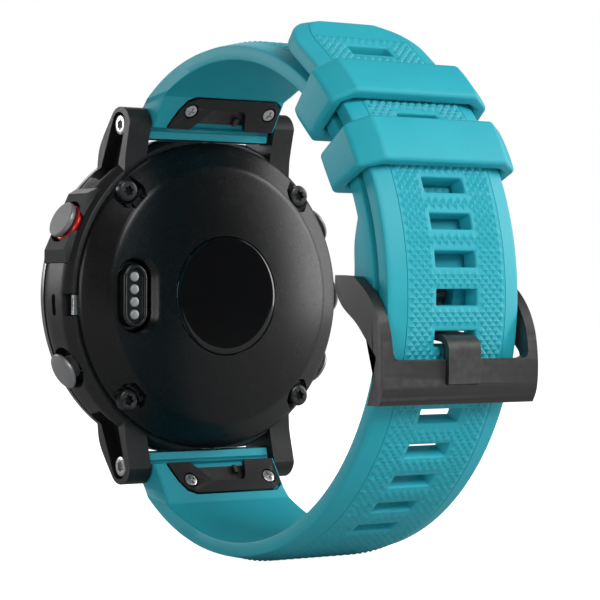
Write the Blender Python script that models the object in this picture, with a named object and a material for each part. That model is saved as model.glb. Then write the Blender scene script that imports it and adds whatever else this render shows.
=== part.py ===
"""Round sports watch on a buckled two-piece silicone band with quick-release strap ends.

Run it with: blender --background --python part.py
Sizes are in millimetres and angles in degrees, and every mesh is scaled to metres when it is made.
+X points at 3 o'clock, +Z at 12 o'clock and +Y out of the case back, towards the wrist.
The origin is the centre of the sensor window's outer face.
"""

import math

import bmesh
import bpy
from mathutils import Matrix, Vector

MM = 0.001

# Clearances.
SEAT_GAP = 0.3          # two pieces that rest on each other
SLIM_GAP = 0.1          # screw heads, pins and contacts in their holes
STRAP_GAP = 0.3         # one strap layer over the other
FRAME_SIDE_GAP = 0.4    # strap edge to buckle arm or keeper wall

# Case.
BACK_R = 23.0           # case back, outer edge of the bevelled ring
BACK_EDGE_Y = -4.1      # the same edge, behind the window plane
RING_R = 19.2           # where the dome meets the bevelled ring
RING_Y = -1.8
BACK_RIM = 0.6          # thickness of the ring at its edge
BACK_WALL = 1.3
WINDOW_R = 8.8
WINDOW_T = 1.0
FLANK_R = 24.4          # widest radius of the case body
CAVITY_R = 20.0
BODY_FRONT_Y = -12.6
BEZEL_T = 2.1
CASE_FLAT_Z = 23.05     # flat faces of the case between the lugs
LENS_R = 19.4
LENS_T = 1.4
DISPLAY_R = 18.3
DISPLAY_T = 1.2
SCREW_CIRCLE_R = 21.7
SCREW_HEAD_R = 1.6
SCREW_SHANK_R = 0.8
NOTCH_HALF = 2.3

# Lugs and lug bars.
LUG_IN_X = 11.1
LUG_OUT_X = 14.8
LUG_WEB = 1.5
LUG_TIP_R = 2.85
BAR_Z = 25.3
BAR_Y = -6.6
BAR_R = 0.75

# Buttons.
BUTTON_Y = -9.2
BUTTON_OUT_R = FLANK_R + 1.4    # radius of the cap's outer face
CAP_R = 2.75
CAP_T = 0.8
STEM_R = 0.8
BUTTONS = {"button_start": 26.0, "button_back": -26.0,
           "button_light": 154.0, "button_up": 180.0, "button_down": 206.0}

# Charging port.
PORT_X = 15.35
PORT_HALF_W = 2.6
PORT_HALF_L = 5.15
PORT_FLOOR_Y = -2.5
CONTACT_R = 0.73
CONTACT_PITCH = 1.85

# Straps.
STRAP_HALF_W = 11.0
STRAP_END_HALF_W = 10.75
STRAP_T = 2.7
MARGIN_W = 2.8          # smooth bevelled margin on each side
MARGIN_DROP = 0.6
LOOP_Y = 15.4           # centre of the keepers' arc
LOOP_R = 33.2           # inner radius of the short strap
LONG_Y = 17.0           # centre of the long strap's arc
TAIL_END = 71.0
TAIL_LIFT = 52.5        # the free tail runs straight on from here
TAIL_CORNER = 9.0       # rounding of the tail's tip, along the arc
SLOT_HALF_W = 3.4
SLOT_H = 2.1
TAIL_SLOT_STEP = 7.5
LONG_SLOT_STEP = 8.3
TONGUE_SLOT = -8.8
END_FACE_Z = 23.35
LAND_START = (-3.3, -24.85)
LAND_END = (-0.2, -29.3)
CHANNEL_GAP = 0.25      # lug bar to its channel

# Buckle.
PIN_Y = 48.3
PIN_Z = 0.3
PIN_R = 0.75
BUCKLE_HALF_W = 13.0
BUCKLE_WALL = 0.6       # what is left of an arm outside the pin's blind hole
BAR_TOP_Z = -8.3
BAR_BOTTOM_Z = -14.2
TONGUE_HALF_W = 2.7
TONGUE_T = 0.9
TONGUE_END_Z = -11.5

# Keepers.
KEEPER_SPANS = {"keeper_lower": (25.5, 35.4), "keeper_upper": (41.2, 50.9)}
KEEPER_WALL = 1.9
KEEPER_HALF_W = 13.3

# Quick-release ends.
PLATE_T = 0.8
PLATE_PROUD = 0.1
LATCH_T = 0.65
PLATE_FRONT = -0.8      # the plate pocket's open front, in the groove
PLATE_LEFT = 8.4
PLATE_RIGHT = -10.2
QR_SCREW_X = (5.4, -8.6)
QR_SCREW_ALONG = 3.1

# Facets round each kind of turned piece.
CASE_STEPS = 56
DISC_STEPS = 40
SEAL_STEPS = 32
BUTTON_STEPS = 16
SCREW_STEPS = 12

TAIL_INNER_R = LOOP_R + STRAP_T + STRAP_GAP
LONG_INNER_R = TAIL_INNER_R + LOOP_Y - LONG_Y
WINDOW_HOLE_R = WINDOW_R + SEAT_GAP
BODY_BACK_Y = BACK_EDGE_Y - BACK_RIM - SEAT_GAP


def clear_scene():
    for obj in list(bpy.data.objects):
        bpy.data.objects.remove(obj, do_unlink=True)


def make_material(name, color, roughness, metallic=0.0):
    material = bpy.data.materials.new(name)
    material.use_nodes = True
    shader = material.node_tree.nodes["Principled BSDF"]
    shader.inputs["Base Color"].default_value = (*color, 1.0)
    shader.inputs["Roughness"].default_value = roughness
    shader.inputs["Metallic"].default_value = metallic
    return material


def turn_about(axis, degrees):
    return Matrix.Rotation(math.radians(degrees), 4, axis)


def case_axis():
    """Local z along world +Y, local x along world +X."""
    return turn_about("X", -90.0)


def radial_axis(angle, radius, y):
    """Local z pointing outwards from the case's axis, at an angle from 3 o'clock towards 12."""
    out = Vector((math.cos(math.radians(angle)), 0.0, math.sin(math.radians(angle))))
    side = Vector((0.0, 1.0, 0.0))
    frame = Matrix((side.cross(out), side, out)).transposed().to_4x4()
    return Matrix.Translation(out * radius + side * y) @ frame


def add_object(name, bm, material, frame=None, parent=None):
    """Turns a bmesh in millimetres into an object whose origin and axes are those of frame."""
    bmesh.ops.recalc_face_normals(bm, faces=bm.faces)
    if bm.calc_volume(signed=True) < 0:
        bmesh.ops.reverse_faces(bm, faces=bm.faces)
    bmesh.ops.scale(bm, verts=bm.verts, vec=(MM, MM, MM))
    mesh = bpy.data.meshes.new(name)
    bm.to_mesh(mesh)
    bm.free()
    if material:
        mesh.materials.append(material)
    mesh.shade_smooth()
    mesh.set_sharp_from_angle(angle=math.radians(32))
    obj = bpy.data.objects.new(name, mesh)
    bpy.context.scene.collection.objects.link(obj)
    place = frame.copy() if frame else Matrix.Identity(4)
    place.translation = place.translation * MM
    obj.matrix_world = place
    if parent:
        obj.parent = parent
        obj.matrix_parent_inverse = parent.matrix_world.inverted()
    return obj


def add_empty(name, location, parent=None):
    empty = bpy.data.objects.new(name, None)
    bpy.context.scene.collection.objects.link(empty)
    empty.empty_display_size = 2 * MM
    empty.location = Vector(location) * MM
    bpy.context.view_layer.update()
    if parent:
        empty.parent = parent
        empty.matrix_parent_inverse = parent.matrix_world.inverted()
    return empty


def move_origin(obj, point):
    """Moves an object's origin to a world point in millimetres, leaving its shape where it is."""
    point = Vector(point) * MM
    offset = obj.matrix_world.inverted() @ point
    obj.data.transform(Matrix.Translation(-offset))
    obj.matrix_world = obj.matrix_world @ Matrix.Translation(offset)


def combine(body, tool, operation="DIFFERENCE", solver="EXACT"):
    """Applies one boolean to body and removes the tool. MANIFOLD is for where EXACT turns the result inside out."""
    modifier = body.modifiers.new("combine", "BOOLEAN")
    modifier.operation = operation
    modifier.solver = solver
    modifier.object = tool
    bpy.context.view_layer.update()
    graph = bpy.context.evaluated_depsgraph_get()
    mesh = bpy.data.meshes.new_from_object(body.evaluated_get(graph))
    body.modifiers.clear()
    mesh.name = body.data.name
    body.data = mesh
    bpy.data.objects.remove(tool, do_unlink=True)


def turned(profile, steps):
    """A solid turned about z from (radius, height) points. Points on the axis become poles."""
    bm = bmesh.new()
    rings = []
    for radius, height in profile:
        if radius < 1e-6:
            rings.append([bm.verts.new((0, 0, height))])
            continue
        angles = [2 * math.pi * k / steps for k in range(steps)]
        rings.append([bm.verts.new((radius * math.cos(a), radius * math.sin(a), height)) for a in angles])
    closed = len(rings[0]) > 1
    pairs = list(zip(rings, rings[1:] + rings[:1])) if closed else list(zip(rings, rings[1:]))
    for ring, following in pairs:
        for k in range(steps):
            corners = [ring[k % len(ring)], ring[(k + 1) % len(ring)],
                       following[(k + 1) % len(following)], following[k % len(following)]]
            unique = list(dict.fromkeys(corners))
            if len(unique) > 2:
                bm.faces.new(unique)
    return bm


def disc(radius, low, high, steps):
    return turned([(0, low), (radius, low), (radius, high), (0, high)], steps)


def ring(inner, outer, low, high, steps):
    return turned([(inner, low), (outer, low), (outer, high), (inner, high)], steps)


def lofted(sections):
    """A closed solid through sections that all have the same number of points."""
    bm = bmesh.new()
    loops = [[bm.verts.new(point) for point in section] for section in sections]
    count = len(loops[0])
    for loop, following in zip(loops, loops[1:]):
        for k in range(count):
            bm.faces.new((loop[k], loop[(k + 1) % count], following[(k + 1) % count], following[k]))
    caps = [bm.faces.new(loops[0]), bm.faces.new(loops[-1])]
    bmesh.ops.triangulate(bm, faces=caps)
    return bm


def side_prism(outline, x_low, x_high):
    """A (y, z) outline extruded along x."""
    return lofted([[(x, y, z) for y, z in outline] for x in (x_low, x_high)])


def flat_prism(outline, low, high):
    """An (x, y) outline extruded along z."""
    return lofted([[(x, y, z) for x, y in outline] for z in (low, high)])


def box(low, high):
    corners = [(low[0], low[1]), (high[0], low[1]), (high[0], high[1]), (low[0], high[1])]
    return flat_prism(corners, low[2], high[2])


def arc(center, radius, start, end, steps):
    angles = [math.radians(start + (end - start) * k / steps) for k in range(steps + 1)]
    return [(center[0] + radius * math.cos(a), center[1] + radius * math.sin(a)) for a in angles]


def stadium(half_w, half_l, steps=6):
    straight = half_l - half_w
    return arc((0, straight), half_w, 0, 180, steps) + arc((0, -straight), half_w, 180, 360, steps)


def helix(radius, wire, low, high, turns, per_turn=8, sides=4):
    """A closed round-wire compression spring along z."""
    sections = []
    for k in range(turns * per_turn + 1):
        angle = 2 * math.pi * k / per_turn
        height = low + wire + (high - low - 2 * wire) * k / (turns * per_turn)
        section = []
        for side in range(sides):
            around = 2 * math.pi * side / sides
            reach = radius + wire * math.cos(around)
            section.append((reach * math.cos(angle), reach * math.sin(angle), height + wire * math.sin(around)))
        sections.append(section)
    return lofted(sections)


def dome_y(radius):
    """Height of the case back's dome, a circular arc from the window's rim to the bevelled ring."""
    return RING_Y * (radius ** 2 - WINDOW_HOLE_R ** 2) / (RING_R ** 2 - WINDOW_HOLE_R ** 2)


def back_profile():
    outer = [(r, dome_y(r)) for r in (WINDOW_HOLE_R, 11.5, 14.0, 16.6, RING_R)]
    outer += [(BACK_R, BACK_EDGE_Y), (BACK_R, BACK_EDGE_Y - BACK_RIM)]
    flange = CAVITY_R - 0.55
    under = [(flange, BACK_EDGE_Y - BACK_RIM), (flange, BODY_BACK_Y - 1.0), (flange - 0.65, BODY_BACK_Y - 1.0)]
    under += [(flange - 0.65, RING_Y - BACK_WALL - 0.2), (14.0, dome_y(14.0) - BACK_WALL)]
    seat = -WINDOW_T - SEAT_GAP
    under += [(WINDOW_R - 2.2, seat - BACK_WALL), (WINDOW_R - 2.2, seat), (WINDOW_HOLE_R, seat)]
    return outer + under


def build_case_back(material):
    back = add_object("case_back", turned(back_profile(), CASE_STEPS), material, case_axis())
    steps = ((PORT_HALF_W + 1.25, PORT_HALF_L + 1.25, 0.4), (PORT_HALF_W + 0.3, PORT_HALF_L + 0.3, PORT_FLOOR_Y),
             (PORT_HALF_W + 0.3, PORT_HALF_L + 0.3, -8.0))
    sections = [[(x, y, z) for x, y in stadium(w, l)] for w, l, z in steps]
    port = case_axis()
    port.translation = (PORT_X, 0, 0)
    combine(back, add_object("port_cutter", lofted(sections), None, port))
    for k in range(4):
        spin = turn_about("Y", 45.0 + 90.0 * k)
        notch = box((RING_R + 0.3, -4.0, -NOTCH_HALF), (BACK_R + 2, 2.0, NOTCH_HALF))
        combine(back, add_object("notch_cutter", notch, None, spin))
        place = spin @ Matrix.Translation((SCREW_CIRCLE_R, 0, 0)) @ case_axis()
        combine(back, add_object("hole_cutter", disc(SCREW_SHANK_R + SEAT_GAP, -8, 2, SCREW_STEPS), None, place))
    return back


def build_back_screws(material, parent):
    head_y = -4.0 + SLIM_GAP
    profile = [(0, head_y - 4.2), (SCREW_SHANK_R, head_y - 4.2), (SCREW_SHANK_R, head_y), (SCREW_HEAD_R, head_y),
               (SCREW_HEAD_R, head_y + 0.85), (SCREW_HEAD_R - 0.2, head_y + 1.05), (0.75, head_y + 1.05),
               (0.75, head_y + 0.5), (0, head_y + 0.5)]
    for k in range(4):
        place = turn_about("Y", 45.0 + 90.0 * k) @ Matrix.Translation((SCREW_CIRCLE_R, 0, 0)) @ case_axis()
        add_object(f"back_screw_{k + 1}", turned(profile, SCREW_STEPS), material, place, parent)


def lug_outline():
    """(y, z) outline of the 12 o'clock lugs."""
    tip = arc((BAR_Y + 0.3, BAR_Z - 0.2), LUG_TIP_R, 8, 142, 9)
    return [(BODY_FRONT_Y, 14.0), (BODY_BACK_Y + 0.2, 14.0), (BODY_BACK_Y + 0.55, 21.5)] + tip + [
        (BODY_FRONT_Y - 0.2, 19.2)]


def lug_recess_outline():
    """(y, z) outline of the drop-shaped hollow in a lug's outer side."""
    around_screw = arc((BAR_Y, BAR_Z), 1.9, 15, 140, 7)
    return [(BODY_FRONT_Y + 1.3, 17.6), (BODY_BACK_Y - 2.6, 17.0)] + around_screw + [(BODY_FRONT_Y + 0.7, 18.8)]


def mirrored(outline, side):
    return [(y, z * side) for y, z in outline]


def add_lugs(body):
    for side_z in (1, -1):
        for side_x in (1, -1):
            xs = sorted((LUG_IN_X * side_x, LUG_OUT_X * side_x))
            lug = add_object("lug_tool", side_prism(mirrored(lug_outline(), side_z), *xs), None)
            combine(body, lug, "UNION")


def cut_lugs(body):
    for side_z in (1, -1):
        for side_x in (1, -1):
            xs = sorted(((LUG_IN_X + LUG_WEB) * side_x, (LUG_OUT_X + 6) * side_x))
            recess = side_prism(mirrored(lug_recess_outline(), side_z), *xs)
            combine(body, add_object("recess_cutter", recess, None))
        hole = Matrix.Translation((0, BAR_Y, BAR_Z * side_z)) @ turn_about("Y", 90)
        combine(body, add_object("bar_cutter", disc(BAR_R + SLIM_GAP, -LUG_OUT_X, LUG_OUT_X, SCREW_STEPS), None, hole))


def body_profile():
    return [(0, BODY_BACK_Y), (23.3, BODY_BACK_Y), (FLANK_R, -7.0), (FLANK_R, -11.2), (FLANK_R - 0.5, BODY_FRONT_Y),
            (0, BODY_FRONT_Y)]


def cavity_profile():
    shelf_y = BODY_FRONT_Y + 0.6
    seal_y = BODY_BACK_Y - 1.3
    return [(0, 5), (CAVITY_R + 0.4, 5), (CAVITY_R + 0.4, seal_y), (CAVITY_R, seal_y), (CAVITY_R, shelf_y),
            (DISPLAY_R + 0.4, shelf_y), (DISPLAY_R + 0.4, BODY_FRONT_Y - 5), (0, BODY_FRONT_Y - 5)]


def add_guard(body):
    """The raised pad round the start button."""
    low = (-5.6, BUTTON_Y - 3.3, -3.6)
    high = (5.6, BUTTON_Y + 3.3, -0.9)
    sections = []
    for inset, z in ((0.0, low[2]), (0.0, high[2] - 0.9), (1.1, high[2])):
        xs, ys = (low[0] + inset, high[0] - inset), (low[1] + inset - BUTTON_Y, high[1] - inset - BUTTON_Y)
        sections.append([(xs[0], ys[0], z), (xs[1], ys[0], z), (xs[1], ys[1], z), (xs[0], ys[1], z)])
    place = radial_axis(BUTTONS["button_start"], BUTTON_OUT_R, BUTTON_Y)
    combine(body, add_object("guard_tool", lofted(sections), None, place), "UNION")


def button_cutter():
    pocket = CAP_R + 0.4
    return turned([(0, -8.5), (STEM_R + SEAT_GAP, -8.5), (STEM_R + SEAT_GAP, -5.0), (1.95, -5.0), (1.95, -3.4),
                   (pocket, -3.4), (pocket, 2.0), (0, 2.0)], BUTTON_STEPS)


def build_case_body(material):
    body = add_object("case_body", turned(body_profile(), CASE_STEPS), material, case_axis())
    add_lugs(body)
    add_guard(body)
    above = disc(BACK_R + SEAT_GAP, BODY_BACK_Y, 2.0, CASE_STEPS)
    combine(body, add_object("back_cutter", above, None, case_axis()))
    combine(body, add_object("cavity_cutter", turned(cavity_profile(), CASE_STEPS), None, case_axis()))
    for side in (1, -1):
        zs = sorted((CASE_FLAT_Z * side, (CASE_FLAT_Z + 8) * side))
        flat = box((-LUG_IN_X, BODY_FRONT_Y - 5, zs[0]), (LUG_IN_X, 0, zs[1]))
        combine(body, add_object("flat_cutter", flat, None))
    cut_lugs(body)
    for angle in BUTTONS.values():
        place = radial_axis(angle, BUTTON_OUT_R, BUTTON_Y)
        combine(body, add_object("button_cutter", button_cutter(), None, place))
    for k in range(4):
        place = turn_about("Y", 45.0 + 90.0 * k) @ Matrix.Translation((SCREW_CIRCLE_R, 0, 0)) @ case_axis()
        combine(body, add_object("screw_cutter", disc(SCREW_SHANK_R + 0.2, -8.8, 0, SCREW_STEPS), None, place))
    slot = box((23.6, BUTTON_Y - 0.5, -3.0), (26, BUTTON_Y + 0.5, 0.3))
    combine(body, add_object("slot_cutter", slot, None))
    notch = box((22.6, BODY_BACK_Y - 1.6, -3.0), (26, BODY_BACK_Y + 1, 0.3))
    combine(body, add_object("port_notch_cutter", notch, None))
    return body


def build_front(materials, parent):
    axis = case_axis()
    front = BODY_FRONT_Y - SEAT_GAP
    bezel = [(LENS_R + SEAT_GAP, front), (FLANK_R - 0.4, front), (FLANK_R - 0.4, front - 0.9),
             (22.6, front - BEZEL_T), (LENS_R + 0.9, front - BEZEL_T), (LENS_R + SEAT_GAP, front - BEZEL_T + 0.4)]
    add_object("bezel", turned(bezel, CASE_STEPS), materials["bezel"], axis, parent)
    add_object("lens_gasket", ring(DISPLAY_R + 0.5, LENS_R, front - 0.3, front, SEAL_STEPS), materials["seal"], axis, parent)
    lens_back = front - 0.3 - SEAT_GAP
    lens = [(0, lens_back), (LENS_R, lens_back), (LENS_R, lens_back - LENS_T + 0.3),
            (LENS_R - 0.3, lens_back - LENS_T), (0, lens_back - LENS_T)]
    add_object("lens", turned(lens, DISC_STEPS), materials["glass"], axis, parent)
    screen_front = lens_back + SEAT_GAP
    add_object("display", disc(DISPLAY_R, screen_front, screen_front + DISPLAY_T, DISC_STEPS), materials["display"], axis,
               parent)


def build_inside(materials, parent):
    axis = case_axis()
    add_object("inner_frame", ring(11.0, CAVITY_R - 0.5, -11.6, -10.9, SEAL_STEPS), materials["frame"], axis, parent)
    add_object("main_board", disc(17.6, -9.6, -8.6, SEAL_STEPS), materials["board"], axis, parent)
    add_object("battery", box((-13.5, -7.9, -11.0), (10.8, -4.6, 11.0)), materials["battery"], None, parent)
    add_object("sensor_board", disc(8.2, -4.2, -3.4, BUTTON_STEPS), materials["board"], axis, parent)
    motor = case_axis()
    motor.translation = (0, 0, -15.0)
    add_object("vibration_motor", disc(3.2, -7.6, -5.0, BUTTON_STEPS), materials["steel"], motor, parent)
    beeper = case_axis()
    beeper.translation = (0, 0, 15.0)
    add_object("beeper", disc(3.2, -7.4, -5.4, BUTTON_STEPS), materials["brass"], beeper, parent)
    gasket = ring(CAVITY_R - 0.3, CAVITY_R + 0.2, BODY_BACK_Y - 0.95, BODY_BACK_Y - 0.35, SEAL_STEPS)
    add_object("back_gasket", gasket, materials["seal"], axis, parent)
    cover = box((22.9, BODY_BACK_Y - 0.6, -2.8), (23.5, BODY_BACK_Y + 0.2, 0.1))
    add_object("air_port_cover", cover, materials["steel"], None, parent)


def build_window(material, parent):
    window = [(0, -WINDOW_T), (WINDOW_R, -WINDOW_T), (WINDOW_R, -0.08), (WINDOW_R - 0.08, 0), (0, 0)]
    return add_object("sensor_window", turned(window, DISC_STEPS), material, case_axis(), parent)


def port_frame():
    frame = case_axis()
    frame.translation = (PORT_X, 0, 0)
    return frame


def build_port(materials, parent):
    flange = (PORT_HALF_W + 0.4, PORT_HALF_L + 0.4)
    sections = [(*flange, -4.6), (*flange, -3.4), (PORT_HALF_W, PORT_HALF_L, -3.4), (PORT_HALF_W, PORT_HALF_L,
                PORT_FLOOR_Y), (2.05, 4.75, PORT_FLOOR_Y), (2.05, 4.75, -1.05), (1.85, 4.55, -0.85), (1.55, 4.25, -0.85),
                (1.4, 4.1, -1.4)]
    bm = lofted([[(x, y, z) for x, y in stadium(w, l)] for w, l, z in sections])
    housing = add_object("port_housing", bm, materials["port"], port_frame())
    for k in range(4):
        offset = (k - 1.5) * CONTACT_PITCH
        place = port_frame() @ Matrix.Translation((0, offset, 0))
        hole = disc(CONTACT_R + SLIM_GAP, -8, 0, SCREW_STEPS)
        combine(housing, add_object("contact_cutter", hole, None, place))
        pin = turned([(0, -5.2), (0.4, -5.2), (0.4, -3.0), (CONTACT_R, -3.0), (CONTACT_R, -1.2),
                      (CONTACT_R - 0.12, -1.1), (0, -1.1)], SCREW_STEPS)
        add_object(f"charge_contact_{k + 1}", pin, materials["contact"], place, parent)
    housing.parent = parent


def build_buttons(materials, parent):
    for name, angle in BUTTONS.items():
        place = radial_axis(angle, BUTTON_OUT_R, BUTTON_Y)
        profile = [(0, -6.9), (1.3, -6.9), (1.3, -6.3), (STEM_R, -6.3), (STEM_R, -2.3), (1.7, -2.3),
                   (1.7, -CAP_T), (CAP_R - 0.2, -CAP_T), (CAP_R, -CAP_T + 0.2), (CAP_R, -0.2),
                   (CAP_R - 0.25, 0), (0, 0)]
        cap = add_object(name, turned(profile, BUTTON_STEPS), materials["button"], place, parent)
        spring = helix(1.35, 0.17, -4.85, -2.45, 3)
        add_object(name.replace("button", "spring"), spring, materials["steel"], place, parent)
        if name == "button_start":
            accent = turned([(2.0, -2.0), (2.6, -2.0), (2.95, -1.65), (2.95, -1.4), (2.7, -1.1), (2.0, -1.1)], BUTTON_STEPS)
            add_object("start_ring", accent, materials["red"], place, cap)


def build_lug_bars(materials, parent):
    for label, side in (("upper", 1), ("lower", -1)):
        place = Matrix.Translation((0, BAR_Y, BAR_Z * side)) @ turn_about("Y", 90)
        end = LUG_IN_X + LUG_WEB - SEAT_GAP
        bore = 0.5
        profile = [(0, -end + 2.5), (bore, -end + 2.5), (bore, -end), (BAR_R, -end), (BAR_R, end), (bore, end),
                   (bore, end - 2.5), (0, end - 2.5)]
        bar = add_object(f"lug_bar_{label}", turned(profile, SCREW_STEPS), materials["bar"], place, parent)
        head = LUG_IN_X + LUG_WEB + SLIM_GAP
        top = LUG_OUT_X - 0.2
        for hand, turn in (("right", 90), ("left", -90)):
            seat = Matrix.Translation((0, BAR_Y, BAR_Z * side)) @ turn_about("Y", turn)
            screw = [(0, head - 2.2), (bore - SLIM_GAP, head - 2.2), (bore - SLIM_GAP, head), (1.5, head),
                     (1.5, top - 0.2), (1.3, top), (0.7, top), (0.7, top - 0.5), (0, top - 0.5)]
            add_object(f"lug_screw_{label}_{hand}", turned(screw, SCREW_STEPS), materials["steel"], seat, bar)


def strap_section(inner, outer, half_w):
    """Eight points across a strap, from its smooth inner face to its bevelled outer face."""
    inner, outer = Vector(inner), Vector(outer)
    thickness = (outer - inner).length
    edge = 1 - MARGIN_DROP / thickness
    foot = 0.3 / thickness
    across = [(-half_w, foot), (-half_w + 0.3, 0), (half_w - 0.3, 0), (half_w, foot), (half_w, edge),
              (half_w - MARGIN_W, 1), (-half_w + MARGIN_W, 1), (-half_w, edge)]
    points = []
    for x, depth in across:
        place = inner.lerp(outer, depth)
        points.append((x, place.x, place.y))
    return points


def strap_end_sections(inner_start, outer_start, side):
    """Sections of the thick end between the lugs, up to where the strap's arc starts."""
    land = [Vector(LAND_START), Vector(LAND_END)]
    inners = [(-4.9, -END_FACE_Z), (-4.7, -END_FACE_Z - 1.0), land[0], land[0].lerp(land[1], 0.5), land[1]]
    outers = [(-8.9, -END_FACE_Z), (-8.9, -END_FACE_Z - 1.0), (-8.9, -25.3), (-8.2, -26.8), (-6.9, -28.2)]
    sections = [strap_section((i[0], -i[1] * side), (o[0], -o[1] * side), STRAP_END_HALF_W)
                for i, o in zip(inners, outers)]
    return sections + [strap_section(inner_start, outer_start, STRAP_HALF_W)]


def tail_point(radius, angle):
    """A (y, z) point of the tail, on its arc and then along the arc's last tangent."""
    turn = math.radians(min(angle, TAIL_LIFT))
    along = math.radians(max(0.0, angle - TAIL_LIFT)) * (TAIL_INNER_R + STRAP_T / 2)
    return (LOOP_Y + radius * math.cos(turn) - along * math.sin(turn), radius * math.sin(turn) + along * math.cos(turn))


def long_strap_sections():
    inner = arc((LONG_Y, 0), LONG_INNER_R, -118, 0, 34)
    outer = arc((LONG_Y, 0), LONG_INNER_R + STRAP_T, -127, 0, 34)
    sections = strap_end_sections(inner[0], outer[0], -1)
    sections += [strap_section(i, o, STRAP_HALF_W) for i, o in zip(inner[1:], outer[1:])]
    straight_end = TAIL_END - TAIL_CORNER
    angles = [TAIL_LIFT * k / 15 for k in range(1, 16)] + [(TAIL_LIFT + straight_end) / 2, straight_end]
    sections += [strap_section(tail_point(TAIL_INNER_R, a), tail_point(TAIL_INNER_R + STRAP_T, a), STRAP_HALF_W)
                 for a in angles]
    corner = TAIL_CORNER * math.radians(TAIL_INNER_R)
    for k in range(1, 7):
        turn = math.radians(90 * k / 6 * 0.97)
        angle = straight_end + TAIL_CORNER * math.sin(turn)
        half_w = STRAP_HALF_W - corner + corner * math.cos(turn)
        inner, outer = tail_point(TAIL_INNER_R, angle), tail_point(TAIL_INNER_R + STRAP_T, angle)
        sections.append(strap_section(inner, outer, half_w))
    return sections


def short_strap_sections():
    inner = arc((LOOP_Y, 0), LOOP_R, 115, 18, 30)
    outer = arc((LOOP_Y, 0), LOOP_R + STRAP_T, 126, 16, 30)
    sections = strap_end_sections(inner[0], outer[0], 1)
    sections += [strap_section(i, o, STRAP_HALF_W) for i, o in zip(inner[1:], outer[1:])]
    eye_out = LOOP_R + STRAP_T
    eye_in = PIN_Y - PIN_R - 1.3
    for inner_z, outer_angle in ((7.0, 11.0), (4.0, 7.0), (1.6, 3.0)):
        sections.append(strap_section((eye_in, inner_z), arc((LOOP_Y, 0), eye_out, outer_angle, 0, 1)[0],
                                      STRAP_HALF_W))
    out_y = LOOP_Y + eye_out - 0.1
    sections.append(strap_section((eye_in + 0.1, PIN_Z - 0.6), (out_y, PIN_Z - 0.6), STRAP_HALF_W))
    sections.append(strap_section((eye_in + 0.7, PIN_Z - 1.7), (out_y - 0.5, PIN_Z - 1.7), STRAP_HALF_W - 0.4))
    sections.append(strap_section((eye_in + 1.5, PIN_Z - 2.1), (out_y - 1.3, PIN_Z - 2.1), STRAP_HALF_W - 0.9))
    return sections


def land_frame(side):
    """Local x along world x, y along the strap away from the case, z out of the wrist side."""
    start, end = Vector(LAND_START), Vector(LAND_END)
    along = (end - start).normalized()
    rows = (Vector((1, 0, 0)), Vector((0, along.x, along.y)), Vector((0, -along.y, along.x)))
    frame = Matrix(rows).transposed().to_4x4()
    frame.translation = (0, start.x, start.y)
    return Matrix.Scale(-side, 4, (0, 0, 1)) @ frame


def plate_outline(grow=0.0):
    """Outline of the cover plate on the land, wider towards the case on its right."""
    left, right = PLATE_LEFT + grow, PLATE_RIGHT - grow
    rear = 5.3 + grow
    return [(right, 0.0), (left, 0.0), (left - 0.4, 1.4), (left - 1.1, 3.3), (left - 2.1, rear - 0.7),
            (left - 3.6, rear), (right + 1.3, rear), (right, rear - 1.0)]


def latch_window(grow=0.0):
    return [(-6.2 - grow, -3.0), (4.5 + grow * 1.5, -3.0), (4.5 + grow * 1.5, 0.0), (1.6 + grow * 1.5, 3.4 + grow),
            (-3.9, 3.4 + grow), (-4.5 - grow, 2.8 + grow)]


def world_box(x_low, x_high, y_low, y_high, z_near, z_far, side):
    """A box by its distances from the case's 3 to 9 o'clock plane, on the side asked for."""
    zs = sorted((z_near * side, z_far * side))
    return box((x_low, y_low, zs[0]), (x_high, y_high, zs[1]))


def spring_frame(side):
    """Local z along the strap, away from the case, behind the latch's leg."""
    return land_frame(side) @ Matrix.Translation((-1.5, 1.0, -2.77)) @ turn_about("X", -90)


def cut_strap_end(strap, side):
    """Seat and mouth for the lug bar, groove on the wrist side, pockets for plate, latch and screws."""
    roof = BAR_Y + BAR_R + CHANNEL_GAP
    near, far = BAR_Z - BAR_R - CHANNEL_GAP, BAR_Z + 2.3
    seat = ((near, BAR_Y - BAR_R - CHANNEL_GAP, roof), (BAR_Z + 0.3, -13.0, roof))
    for z_near, low, high in seat:
        combine(strap, add_object("seat_cutter", world_box(-13, 13, low, high, z_near, far, side), None))
    combine(strap, add_object("groove_cutter", world_box(-13, 13, -4.9, 0, 24.45, 24.9, side), None))
    leg_room = world_box(-4.3, 1.3, BAR_Y + 0.45, BAR_Y + 3.9, BAR_Z + 0.9, far + 1.05, side)
    combine(strap, add_object("leg_cutter", leg_room, None))
    frame = land_frame(side)
    floor = PLATE_PROUD - PLATE_T - SLIM_GAP
    rim = plate_outline(SEAT_GAP)
    outline = [(rim[0][0], PLATE_FRONT), (rim[1][0], PLATE_FRONT)] + rim[1:]
    combine(strap, add_object("plate_cutter", flat_prism(outline, floor, 2.0), None, frame))
    low = floor - LATCH_T - 0.35
    front = PLATE_FRONT + 0.1
    latch_pocket = [(-7.0, front), (5.6, front), (5.6, 1.2), (3.6, 4.0), (3.2, 5.4), (-5.6, 5.4),
                    (-7.0, 3.6)]
    combine(strap, add_object("latch_cutter", flat_prism(latch_pocket, low, 0.5), None, frame))
    for x in QR_SCREW_X:
        place = frame @ Matrix.Translation((x, QR_SCREW_ALONG, 0))
        combine(strap, add_object("screw_cutter", disc(0.7, -2.7, 0, SCREW_STEPS), None, place))


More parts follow.
